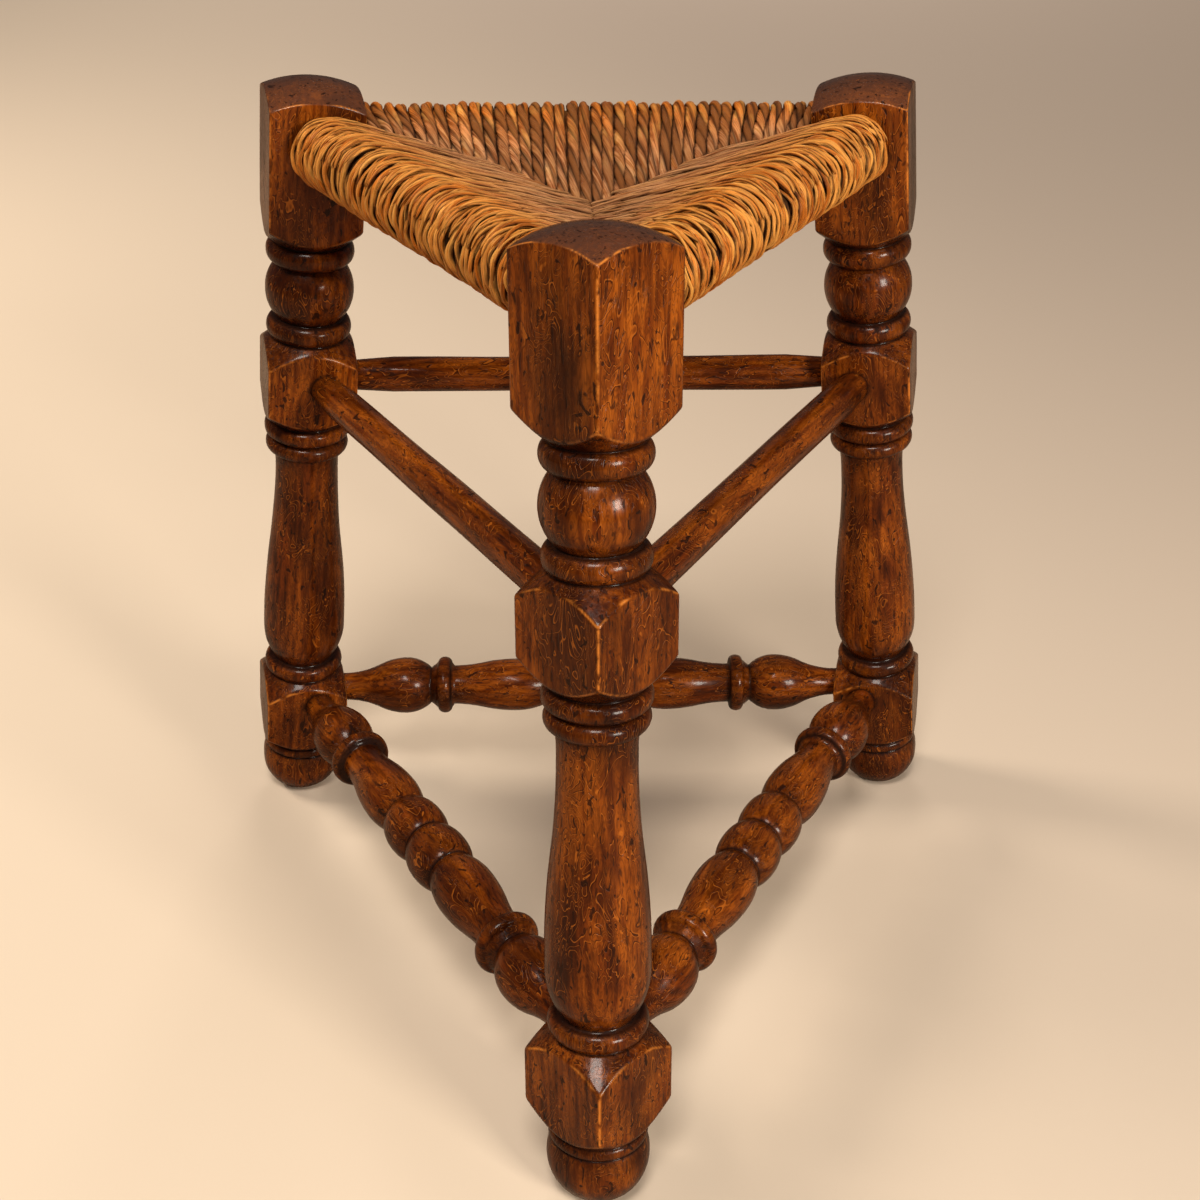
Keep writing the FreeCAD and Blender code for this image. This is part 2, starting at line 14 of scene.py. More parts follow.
import bpy
import numpy as np
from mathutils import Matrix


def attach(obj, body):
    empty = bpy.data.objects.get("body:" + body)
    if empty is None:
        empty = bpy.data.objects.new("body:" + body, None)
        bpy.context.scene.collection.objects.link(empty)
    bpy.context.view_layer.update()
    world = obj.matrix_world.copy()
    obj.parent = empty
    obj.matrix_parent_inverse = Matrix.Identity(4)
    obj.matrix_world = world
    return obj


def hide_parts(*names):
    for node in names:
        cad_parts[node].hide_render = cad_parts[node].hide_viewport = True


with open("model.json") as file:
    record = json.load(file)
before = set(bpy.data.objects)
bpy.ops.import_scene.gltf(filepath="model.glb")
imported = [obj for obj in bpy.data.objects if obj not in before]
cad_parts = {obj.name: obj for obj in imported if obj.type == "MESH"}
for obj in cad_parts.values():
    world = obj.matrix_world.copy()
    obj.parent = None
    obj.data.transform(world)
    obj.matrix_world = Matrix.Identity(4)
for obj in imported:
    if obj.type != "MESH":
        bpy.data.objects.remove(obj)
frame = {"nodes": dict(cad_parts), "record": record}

Array = np.ndarray
Colour = tuple[float, float, float]
Place = tuple[float, float, float]
Range = tuple[float, float]
Terms = tuple[tuple[float, float], ...]
Turning = Callable[[Array], Array]
log = logging.getLogger("stool")

BODY = "root"
THIRD_TURN_HALF = math.radians(30)
UNEVEN_WAVES = 6


class Post(Enum):
    """The three legs, by the direction in which each stands from the middle, in degrees."""

    FRONT = -90
    REAR_LEFT = 150
    REAR_RIGHT = 30

    @property
    def node(self) -> str:
        """Name of the leg's solid."""
        return "leg_" + self.name.lower()


class Side(Enum):
    """The three sides, by the direction in which each lies from the middle, in degrees."""

    REAR = 90
    LEFT = 210
    RIGHT = -30

    def node(self, row: str) -> str:
        """Name of this side's solid in a row of rails, stretchers or rush."""
        return row + "_" + self.name.lower()


# Surfaces


@dataclass
class Tubes:
    """Closed surfaces of one size: each has rows of points along it and columns round it."""

    points: Array
    fields: dict[str, Array] = field(default_factory=dict)

    def joined(self) -> tuple[Array, Array, dict[str, Array]]:
        """Lays all the tubes end to end in one mesh, with a point that closes each end.

        Returns:
            The points, the corners of the triangles and quads (a triangle repeats none), and the fields.
        """
        tubes, rows, columns = self.points.shape[:3]
        count = rows * columns
        number = np.arange(count).reshape(rows, columns)
        onward = np.roll(number, -1, axis=1)
        quads = np.stack((number[:-1], onward[:-1], onward[1:], number[1:]), axis=-1).reshape(-1, 4)
        first_cap = np.stack((onward[0], number[0], np.full(columns, count)), axis=-1)
        last_cap = np.stack((number[-1], onward[-1], np.full(columns, count + 1)), axis=-1)
        starts = (np.arange(tubes) * (count + 2))[:, None, None]
        quads = (quads[None] + starts).reshape(-1, 4)
        caps = (np.concatenate((first_cap, last_cap))[None] + starts).reshape(-1, 3)
        fields = {name: self.with_ends(values) for name, values in self.fields.items()}
        return self.with_ends(self.points), (quads, caps), fields

    def with_ends(self, values: Array) -> Array:
        """Adds each end's mean to the values on the grid, one tube after another.

        Args:
            values: Values on the grid, tubes by rows by columns.

        Returns:
            One row a point, each tube's own points before its two ends.
        """
        tubes, rows, columns = values.shape[:3]
        flat = values.reshape(tubes, rows * columns, -1)
        ends = values[:, [0, -1]].mean(axis=2).reshape(tubes, 2, -1)
        return np.concatenate((flat, ends), axis=1).reshape(tubes * (rows * columns + 2), -1)


def make_piece(
    name: str, tubes: Tubes, material: bpy.types.Material, stands_for: list[str]
) -> None:
    """Makes one object of a set of tubes, dresses it and lets it stand for its solids.

    Args:
        name: Name of the object.
        tubes: Its surfaces.
        material: Its finish.
        stands_for: Solids that it replaces.
    """
    points, (quads, caps), fields = tubes.joined()
    mesh = bpy.data.meshes.new(name)
    mesh.vertices.add(len(points))
    mesh.vertices.foreach_set("co", points.astype(np.float32).ravel())
    corners = np.concatenate((quads.ravel(), caps.ravel()))
    sizes = np.concatenate((np.full(len(quads), 4), np.full(len(caps), 3)))
    mesh.loops.add(len(corners))
    mesh.loops.foreach_set("vertex_index", corners.astype(np.int32))
    mesh.polygons.add(len(sizes))
    mesh.polygons.foreach_set("loop_start", (np.cumsum(sizes) - sizes).astype(np.int32))
    mesh.polygons.foreach_set("use_smooth", np.ones(len(sizes), dtype=bool))
    for label, values in fields.items():
        vector = values.shape[1] == 3
        layer = mesh.attributes.new(label, "FLOAT_VECTOR" if vector else "FLOAT", "POINT")
        layer.data.foreach_set("vector" if vector else "value", values.astype(np.float32).ravel())
    mesh.update(calc_edges=True)
    mesh.validate()
    mesh.materials.append(material)
    piece = bpy.data.objects.new(name, mesh)
    bpy.context.scene.collection.objects.link(piece)
    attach(piece, BODY)
    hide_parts(*stands_for)
    log.info("%s: %d faces for %s", name, len(sizes), ", ".join(stands_for))


def soft_least(first: Array, second: Array, rounding: Array | float) -> tuple[Array, Array]:
    """The lesser of two radii, run together over a rounded edge.

    With h = half plus half the difference over the rounding, kept from 0 to 1, the result is the mix of
    the two by h, less rounding times h times (1 - h).

    Args:
        first: One radius.
        second: The other radius.
        rounding: Difference of radius within which the edge is rounded.

    Returns:
        The radius, and a mask that is 1 on the edge itself.
    """
    share = np.clip(0.5 + 0.5 * (second - first) / rounding, 0, 1)
    drop = share * (1 - share)
    return second * (1 - share) + first * share - rounding * drop, 4 * drop


def slow_waves(places: Array, waves: int, spread: float, seed: int) -> Array:
    """A smooth random field of a vector: a sum of sines along random directions.

    Args:
        places: Points, as rows of three in the last axis.
        waves: How many sines are added.
        spread: Spatial frequency of the quickest one, in radians a metre.
        seed: Seed of the directions and phases.

    Returns:
        One value per point, of unit size overall.
    """
    random = np.random.default_rng(seed)
    total = np.zeros(places.shape[:-1])
    for direction, phase in zip(random.normal(size=(waves, 3)), random.uniform(0, math.tau, waves)):
        total += np.sin(places @ (direction * spread) + phase)
    return total / math.sqrt(waves / 2)


def joined_tubes(parts: list[Tubes]) -> Tubes:
    """Several sets of tubes of one size as one set."""
    fields = {name: np.concatenate([part.fields[name] for part in parts]) for name in parts[0].fields}
    return Tubes(np.concatenate([part.points for part in parts]), fields)


# Turned profiles


@dataclass(frozen=True)
class Stretch:
    """One stretch of a turned profile: its length, its rows and its radius as a function of the share."""

    length: float
    rows: int
    radius: Turning
    quirk: bool = False
    crowded: bool = False
    # How dark the whole stretch is made, as soil and painted shade.
    soil_and_shade_level: float = 0.0

    def shares(self) -> Array:
        """Shares of the length at its rows, crowded to both ends where it curls in there."""
        even = np.linspace(0, 1, self.rows, endpoint=False)
        return 0.5 - 0.5 * np.cos(math.pi * even) if self.crowded else even


def level(radius: float) -> Turning:
    """A plain cylinder."""
    return lambda share: np.full_like(share, radius)


def slope(start: float, end: float) -> Turning:
    """A straight cone from one radius to another."""
    return lambda share: start + (end - start) * share


def ring(quirk: float, crest: float) -> Turning:
    """A full rounded ring: the height over its quirks is the root of 1 less (2u - 1) squared."""
    return lambda share: quirk + (crest - quirk) * np.sqrt(1 - (2 * share - 1) ** 2)


def arc(start: float, end: float, length: float, crest_first: bool) -> Turning:
    """An arc that lies flat at one end, where its tangent is along the axis.

    Its radius is (length squared plus rise squared) over twice the rise, and at a distance x from the flat
    end it has moved by that radius less the root of (radius squared less x squared).

    Args:
        start: Radius of the piece where the arc starts.
        end: Radius of the piece where it ends.
        length: Its length along the axis.
        crest_first: Whether the flat end is its start.

    Returns:
        Radius as a function of the share of the length.
    """
    flat, other = (start, end) if crest_first else (end, start)
    rise = abs(other - flat)
    bend = (length ** 2 + rise ** 2) / (2 * rise)

    def radius(share: Array) -> Array:
        """Radius at a share of the length."""
        reach = (share if crest_first else 1 - share) * length
        return flat + math.copysign(1, other - flat) * (bend - np.sqrt(bend ** 2 - reach ** 2))

    return radius


def turning_radius(crest: float, neck: float, swell: float, hollow: float) -> float:
    """Radius at which a swell that falls from a crest runs smoothly into the hollow above a neck."""
    return crest - (crest - neck) * swell / (swell + hollow)


@dataclass(frozen=True)
class Profile:
    """A turned profile: places along the axis, radii, and how near each is to a quirk, by two measures; the
    second, raised to each stretch's own level, marks soil and painted shade.
    """

    along: Array
    radius: Array
    recess: Array
    soil: Array

    QUIRK_WIDTH = 0.0011
    # Width of the soil and painted shade round each quirk.
    SOIL_AND_SHADE_WIDTH = 0.0075

    @classmethod
    def of(cls, start: float, stretches: list[Stretch]) -> "Profile":
        """Stacks stretches from a start along the axis.

        Args:
            start: Where the first stretch starts.
            stretches: The stretches in order.

        Returns:
            The profile.
        """
        along, radii, quirks, grime_and_shade = [], [], [], []
        for stretch in stretches:
            shares = stretch.shares()
            along.append(start + stretch.length * shares)
            radii.append(stretch.radius(shares))
            grime_and_shade.append(np.full(len(shares), stretch.soil_and_shade_level))
            if stretch.quirk:
                quirks.append(start)
            start += stretch.length
        along.append(np.array([start]))
        radii.append(stretches[-1].radius(np.array([1.0])))
        grime_and_shade.append(np.array([stretches[-1].soil_and_shade_level]))
        places = np.concatenate(along)
        gaps = places[:, None] - np.array(quirks or [math.inf])[None]
        # Recess marks the quirks themselves; the wider mask is soil with painted shade round the quirks and
        # over whole stretches.
        recess = np.clip(np.exp(-(gaps / cls.QUIRK_WIDTH) ** 2).sum(axis=1), 0, 1)
        soil = np.maximum(np.exp(-(gaps / cls.SOIL_AND_SHADE_WIDTH) ** 2).max(axis=1), np.concatenate(grime_and_shade))
        return cls(places, np.concatenate(radii), recess, soil)


# Stance


@dataclass(frozen=True)
class Stance:
    """Where the legs stand and how they lean, worked out from the feet of the solids."""

    middle: float
    foot_circle: float
    rake: float

    RAKE = math.radians(7)
    FOOT_CENTRE_RISE = 0.020

    @classmethod
    def of_record(cls, record: dict) -> "Stance":
        """Reads the stance from the record's mounts under the three feet.

        Args:
            record: The part's record.

        Returns:
            The stance.
        """
        feet = np.array([mount["pos_m"] for mount in record["mounts"]])
        middle = feet[:, 1].mean()
        circle = np.hypot(feet[:, 0], feet[:, 1] - middle).mean()
        return cls(middle, circle + cls.FOOT_CENTRE_RISE * math.sin(cls.RAKE), cls.RAKE)

    def circle(self, height: float) -> float:
        """How far a leg's axis is from the middle at a height along it."""
        return self.foot_circle - height * math.sin(self.rake)

    def apothem(self, height: float) -> float:
        """How far a side is from the middle at a height along the legs."""
        return self.circle(height) * math.sin(THIRD_TURN_HALF)

    def half_span(self, height: float) -> float:
        """Half the distance between two leg axes at a height along them."""
        return self.circle(height) * math.cos(THIRD_TURN_HALF)

    def stand(self, post: Post, points: Array) -> Array:
        """Stands points, made upright about a leg's own axis with +X outward, where the leg stands.

        Args:
            post: The leg.
            points: Points about its own axis.

        Returns:
            The points leaned inward and turned to the leg's direction.
        """
        turn = math.radians(post.value)
        across = points[..., 0] * math.cos(self.rake) - points[..., 2] * math.sin(self.rake)
        across = across + self.foot_circle
        up = points[..., 0] * math.sin(self.rake) + points[..., 2] * math.cos(self.rake)
        east = across * math.cos(turn) - points[..., 1] * math.sin(turn)
        north = across * math.sin(turn) + points[..., 1] * math.cos(turn) + self.middle
        return np.stack((east, north, up), axis=-1)

    def lay(self, side: Side, height: float, along: Array, inward: Array, up: Array) -> Array:
        """Lays points in one side.

        Args:
            side: The side.
            height: Height of its line of axes along the legs.
            along: Places along that line.
            inward: Places inward from it.
            up: Places up from it.

        Returns:
            The points.
        """
        turn = math.radians(side.value)
        out = self.apothem(height) - inward
        east = out * math.cos(turn) - along * math.sin(turn)
        north = out * math.sin(turn) + along * math.cos(turn) + self.middle
        return np.stack((east, north, up + height * math.cos(self.rake)), axis=-1)


# Shader groups

PITH_EAST = 0.028
PITH_NORTH = 0.012
RING_BEND = 0.016
RING_RATE = 1500


class Wiring:
    """Nodes of one material or group, added and linked in short calls."""

    def __init__(self, tree: bpy.types.NodeTree) -> None:
        """Starts on a node tree."""
        self.tree = tree

    def add(self, kind: str, inputs: dict | None = None, **settings: object) -> bpy.types.Node:
        """Adds a node.

        Args:
            kind: Its type without the word ShaderNode, or a whole type with it.
            inputs: Values or sockets for its inputs, by name or number.
            settings: Its own settings.

        Returns:
            The node.
        """
        node = self.tree.nodes.new(kind if kind.startswith("Node") else "ShaderNode" + kind)
        for name, value in settings.items():
            setattr(node, name, value)
        for name, value in (inputs or {}).items():
            self.feed(node.inputs[name], value)
        return node

    def feed(self, socket: bpy.types.NodeSocket, value: object) -> None:
        """Links a socket, or sets the value that it has on its own.

        Args:
            socket: The input.
            value: A socket to link to it, or its value.
        """
        if isinstance(value, bpy.types.NodeSocket):
            self.tree.links.new(value, socket)
        elif isinstance(value, tuple) and len(value) == 3 and socket.type == "RGBA":
            socket.default_value = (*value, 1)
        else:
            socket.default_value = value

    def sum(self, operation: str, *values: object) -> bpy.types.NodeSocket:
        """One step of arithmetic."""
        return self.add("Math", dict(enumerate(values)), operation=operation).outputs[0]

    def stretched(self, vector: object, factors: Place) -> bpy.types.NodeSocket:
        """A vector times three factors."""
        return self.add("VectorMath", {0: vector, 1: factors}, operation="MULTIPLY").outputs[0]

    def noise(
        self, vector: object, scale: float, detail: float = 2, distortion: float = 0
    ) -> bpy.types.NodeSocket:
        """Noise from 0 to 1 over a vector."""
        inputs = {"Vector": vector, "Scale": scale, "Detail": detail, "Distortion": distortion}
        return self.add("TexNoise", inputs).outputs[0]

    def step(self, value: object, low: float, high: float) -> bpy.types.NodeSocket:
        """Smooth step from 0 at the low value to 1 at the high one."""
        inputs = {"Value": value, "From Min": low, "From Max": high}
        return self.add("MapRange", inputs, interpolation_type="SMOOTHSTEP").outputs[0]

    def mixed(self, share: object, first: object, second: object, blend: str = "MIX") -> bpy.types.NodeSocket:
        """Two colours mixed by a share."""
        node = self.add("Mix", {0: share, 6: first, 7: second}, data_type="RGBA", blend_type=blend)
        return node.outputs[2]

    def attribute(self, name: str, vector: bool = False) -> bpy.types.NodeSocket:
        """A field of the mesh."""
        return self.add("Attribute", attribute_name=name).outputs["Vector" if vector else "Fac"]


def new_group(name: str, inputs: dict[str, str], outputs: dict[str, str]) -> tuple:
    """Starts a shader group.

    Args:
        name: Its name.
        inputs: Kind of each input socket, by name.
        outputs: Kind of each output socket, by name.

    Returns:
        The group, its wiring, its inputs' sockets and its outputs' sockets.
    """
    group = bpy.data.node_groups.new(name, "ShaderNodeTree")
    for label, kind in inputs.items():
        group.interface.new_socket(label, in_out="INPUT", socket_type="NodeSocket" + kind)
    for label, kind in outputs.items():
        group.interface.new_socket(label, in_out="OUTPUT", socket_type="NodeSocket" + kind)
    wiring = Wiring(group)
    entry = wiring.add("NodeGroupInput")
    leave = wiring.add("NodeGroupOutput")
    return group, wiring, entry.outputs, leave.inputs


def grain_group() -> bpy.types.NodeTree:
    """Grain of old turned wood, over coordinates of the stock with Z along the grain.

    Streaks are noise drawn out along the grain over faint rings about a pith beside the stock. Figure is
    the contour lines of a twisted noise: each is a light line with a dark one beside it. Pits are short
    dark dashes along the grain. Cloud is slow mottling.

    Returns:
        The group.
    """
    group, wiring, entry, leave = new_group(
        "Old grain",
        {"Stock": "Vector"},
        {"Streaks": "Float", "Light line": "Float", "Dark line": "Float", "Pits": "Float", "Cloud": "Float",
         "Curl": "Float", "Gloom": "Float", "Height": "Float"},
    )
    stock = entry["Stock"]
    bend = wiring.noise(wiring.stretched(stock, (1, 1, 0.35)), 26, 2)
    parts = wiring.add("SeparateXYZ", {0: stock})
    lean = wiring.sum("MULTIPLY_ADD", parts.outputs[2], 0.10, parts.outputs[0])
    east = wiring.sum("ADD", lean, PITH_EAST)
    north = wiring.sum("ADD", parts.outputs[1], PITH_NORTH)
    square = wiring.sum("MULTIPLY_ADD", east, east, wiring.sum("MULTIPLY", north, north))
    radius = wiring.sum("MULTIPLY_ADD", bend, RING_BEND, wiring.sum("SQRT", square))
    wave = wiring.sum("SINE", wiring.sum("MULTIPLY", radius, RING_RATE))
    fine = wiring.noise(wiring.stretched(stock, (1, 1, 0.07)), 520, 3)
    broad = wiring.noise(wiring.stretched(stock, (1, 1, 0.12)), 190, 2, 0.4)
    streaks = wiring.sum("MULTIPLY_ADD", wave, 0.045, wiring.sum("MULTIPLY", fine, 0.55))
    streaks = wiring.sum("MULTIPLY_ADD", broad, 0.45, streaks)
    wiring.feed(leave["Streaks"], wiring.step(streaks, 0.34, 0.66))

    twisted = wiring.noise(wiring.stretched(stock, (1, 1, 0.40)), 80, 1.2, 2.4)
    turn = wiring.sum("FRACT", wiring.sum("MULTIPLY", twisted, 9))
    patch = wiring.step(wiring.noise(stock, 55, 1), 0.34, 0.54)
    rise = wiring.step(turn, 0.36, 0.46)
    fall = wiring.step(turn, 0.50, 0.56)
    end = wiring.step(turn, 0.60, 0.72)
    light = wiring.sum("MULTIPLY", wiring.sum("SUBTRACT", rise, fall), patch)
    dark = wiring.sum("MULTIPLY", wiring.sum("SUBTRACT", fall, end), patch)
    wiring.feed(leave["Light line"], light)
    wiring.feed(leave["Dark line"], dark)

    small = wiring.noise(wiring.stretched(stock, (1, 1, 0.30)), 230, 1.5, 1.6)
    curl = wiring.sum("FRACT", wiring.sum("MULTIPLY", small, 5))
    wiring.feed(leave["Curl"], wiring.sum("ABSOLUTE", wiring.sum("MULTIPLY_ADD", curl, 2, -1)))

    dashes = wiring.noise(wiring.stretched(stock, (1, 1, 0.22)), 560, 1)
    ticks = wiring.noise(wiring.stretched(stock, (1, 1, 0.50)), 300, 0.5, 0.9)
    pits = wiring.sum("MULTIPLY", wiring.step(dashes, 0.63, 0.71), 0.75)
    pits = wiring.sum("MAXIMUM", pits, wiring.step(ticks, 0.69, 0.74))
    wiring.feed(leave["Pits"], pits)

    wiring.feed(leave["Cloud"], wiring.noise(wiring.stretched(stock, (1, 1, 0.45)), 38, 3, 0.8))
    wiring.feed(leave["Gloom"], wiring.noise(wiring.stretched(stock, (1, 1, 0.35)), 27, 3, 0.5))
    sunk = wiring.sum("MULTIPLY_ADD", pits, -1.0, wiring.sum("MULTIPLY", light, 0.35))
    sunk = wiring.sum("MULTIPLY_ADD", dark, -0.35, sunk)
    wiring.feed(leave["Height"], wiring.sum("MULTIPLY_ADD", fine, 0.5, sunk))
    return group


def handling_group() -> bpy.types.NodeTree:
    """What hands and wax do to wood, with painted light and shade: edges rubbed light and given a painted
    highlight, recesses left dark and dull, soil darkened further by painted shade.

    Returns:
        The group.
    """
    group, wiring, entry, leave = new_group(
        "Handling",
        {"Colour": "Color", "Rubbed": "Color", "Dirt": "Color", "Edge": "Float", "Recess": "Float",
         "Soil": "Float", "Stock": "Vector"},
        {"Colour": "Color", "Dullness": "Float"},
    )
    patchy = wiring.step(wiring.noise(entry["Stock"], 190, 3), 0.36, 0.60)
    # Edges rubbed light, with a painted highlight in the same colour.
    rub_and_highlight = wiring.sum("MULTIPLY", wiring.sum("POWER", entry["Edge"], 4), patchy)
    rubbed = wiring.mixed(wiring.sum("MULTIPLY", rub_and_highlight, 0.85), entry["Colour"], entry["Rubbed"])
    # Soil with painted shade, in blotches, and the recesses darkened.
    blotches = wiring.step(wiring.noise(entry["Stock"], 70, 3), 0.25, 0.70)
    soil = wiring.sum("MULTIPLY", wiring.sum("MULTIPLY", entry["Soil"], blotches), 0.64)
    dark = wiring.sum("MAXIMUM", wiring.sum("MULTIPLY", entry["Recess"], 0.93), soil)
    wiring.feed(leave["Colour"], wiring.mixed(dark, rubbed, entry["Dirt"]))
    wiring.feed(leave["Dullness"], wiring.sum("MULTIPLY", entry["Recess"], 0.9))
    return group


def fibre_group() -> bpy.types.NodeTree:
    """Lengthwise fibres of a twisted strand, over its own coordinates: along, around and its number.

    Returns:
        The group.
    """
    group, wiring, entry, leave = new_group(
        "Rush fibres",
        {"Strand": "Vector"},
        {"Streaks": "Float", "Patches": "Float", "Nicks": "Float", "Height": "Float"},
    )
    streaks = wiring.noise(wiring.stretched(entry["Strand"], (60, 7, 3.7)), 1, 3)
    ribs = wiring.noise(wiring.stretched(entry["Strand"], (110, 16, 5.1)), 1, 2)
    patches = wiring.noise(wiring.stretched(entry["Strand"], (55, 1.3, 2.9)), 1, 2)
    nicks = wiring.noise(wiring.stretched(entry["Strand"], (260, 9, 7.3)), 1, 1)
    wiring.feed(leave["Streaks"], streaks)
    wiring.feed(leave["Patches"], patches)
    cut = wiring.step(nicks, 0.66, 0.76)
    wiring.feed(leave["Nicks"], cut)
    height = wiring.sum("MULTIPLY_ADD", streaks, 0.8, wiring.sum("MULTIPLY", ribs, 0.6))
    wiring.feed(leave["Height"], wiring.sum("MULTIPLY_ADD", cut, -0.5, height))
    return group


# Finishes


def new_material(name: str) -> tuple[bpy.types.Material, Wiring, bpy.types.Node]:
    """Starts a material.

    Args:
        name: Its name.

    Returns:
        The material, its wiring and its shader.
    """
    material = bpy.data.materials.new(name)
    material.use_nodes = True
    wiring = Wiring(material.node_tree)
    return material, wiring, material.node_tree.nodes["Principled BSDF"]


@dataclass(frozen=True)
class OldWood:
    """Waxed old wood: dark in the recesses, soiled and given painted shade round the quirks and at the
    silhouettes, rubbed light with a painted highlight along the edges, dusty with a painted sheen on the
    dome. Colours are linear.
    """

    name: str
    dark: Colour = (0.031, 0.0050, 0.0008)
    middle: Colour = (0.165, 0.0290, 0.0022)
    light: Colour = (0.420, 0.1020, 0.0072)
    line: Colour = (0.500, 0.1350, 0.0130)
    gloom: Colour = (0.030, 0.0048, 0.0008)
    # Rubbed edges, lightened past the wood's own colour as a painted highlight.
    rubbed: Colour = (0.800, 0.2500, 0.0350)
    # Dirt in the pits and quirks, and also the colour of the painted shade at the silhouettes and round the
    # quirks.
    dirt: Colour = (0.010, 0.0020, 0.0006)
    # Dust and a painted sheen on the dome.
    dust_and_sheen: Colour = (0.105, 0.0400, 0.0210)
    # How far the painted shade at the silhouettes darkens the colour.
    depth: float = 0.70
    grain_depth: float = 0.0005
    dent_depth: float = 0.0012

    def build(self, groups: dict[str, bpy.types.NodeTree]) -> bpy.types.Material:
        """Builds the material from the shared groups.

        Args:
            groups: The shader groups by name.

        Returns:
            The material.
        """
        material, wiring, shader = new_material(self.name)
        stock = wiring.attribute("stock", vector=True)
        grain = wiring.add("Group", node_tree=groups["grain"])
        wiring.feed(grain.inputs["Stock"], stock)
        cloud = wiring.step(grain.outputs["Cloud"], 0.34, 0.66)
        bright = wiring.sum("MULTIPLY_ADD", wiring.attribute("flat"), 0.30, cloud)
        base = wiring.mixed(wiring.sum("MULTIPLY", bright, 0.80), self.dark, self.middle)
        shine = wiring.mixed(wiring.sum("MULTIPLY", bright, 0.80), self.middle, self.light)
        base = wiring.mixed(grain.outputs["Streaks"], base, shine)
        curl = wiring.step(grain.outputs["Curl"], 0.25, 0.95)
        base = wiring.mixed(wiring.sum("MULTIPLY", curl, 0.42), base, self.dark)
        gloom = wiring.step(grain.outputs["Gloom"], 0.47, 0.62)
        base = wiring.mixed(wiring.sum("MULTIPLY", gloom, 0.68), base, self.gloom)
        base = wiring.mixed(wiring.sum("MULTIPLY", grain.outputs["Light line"], 0.60), base, self.line)
        base = wiring.mixed(wiring.sum("MULTIPLY", grain.outputs["Dark line"], 0.80), base, self.dark)
        # The dome greyed by dust and a painted sheen.
        base = wiring.mixed(wiring.sum("MULTIPLY", wiring.attribute("crown"), 0.65), base, self.dust_and_sheen)
        base = wiring.mixed(wiring.sum("MULTIPLY", grain.outputs["Pits"], 0.85), base, self.dirt)
        handling = wiring.add("Group", node_tree=groups["handling"])
        for label, value in (
            ("Colour", base),
            ("Rubbed", self.rubbed),
            ("Dirt", self.dirt),
            ("Edge", wiring.attribute("edge")),
            ("Recess", wiring.attribute("recess")),
            ("Soil", wiring.attribute("soil")),
            ("Stock", stock),
        ):
            wiring.feed(handling.inputs[label], value)
        # Painted shade: the colour darkens towards the dirt-and-shade colour where the surface turns away
        # from the view, at the silhouettes.
        facing = wiring.add("LayerWeight", {"Blend": 0.5}).outputs["Facing"]
        painted_rim_shade = wiring.sum("MULTIPLY", wiring.step(facing, 0.35, 1.0), self.depth)
        colour = wiring.mixed(painted_rim_shade, handling.outputs["Colour"], self.dirt)
        wiring.feed(shader.inputs["Base Color"], colour)
        shader.inputs["Specular IOR Level"].default_value = 0.10
        rough = wiring.sum("MULTIPLY_ADD", grain.outputs["Pits"], 0.25, 0.32)
        rough = wiring.sum("MULTIPLY_ADD", handling.outputs["Dullness"], 0.38, rough)
        wiring.feed(shader.inputs["Roughness"], wiring.sum("MULTIPLY_ADD", cloud, -0.10, rough))
        shader.inputs["Coat Weight"].default_value = 0.22
        shader.inputs["Coat Roughness"].default_value = 0.13
        bump = wiring.add("Bump", {
            "Strength": 0.5, "Distance": self.grain_depth, "Height": grain.outputs["Height"],
        })
        dents = wiring.noise(stock, 85, 2)
        broad = wiring.add("Bump", {
            "Strength": 0.25, "Distance": self.dent_depth, "Height": dents, "Normal": bump.outputs[0],
        })
        wiring.feed(shader.inputs["Normal"], broad.outputs[0])
        return material


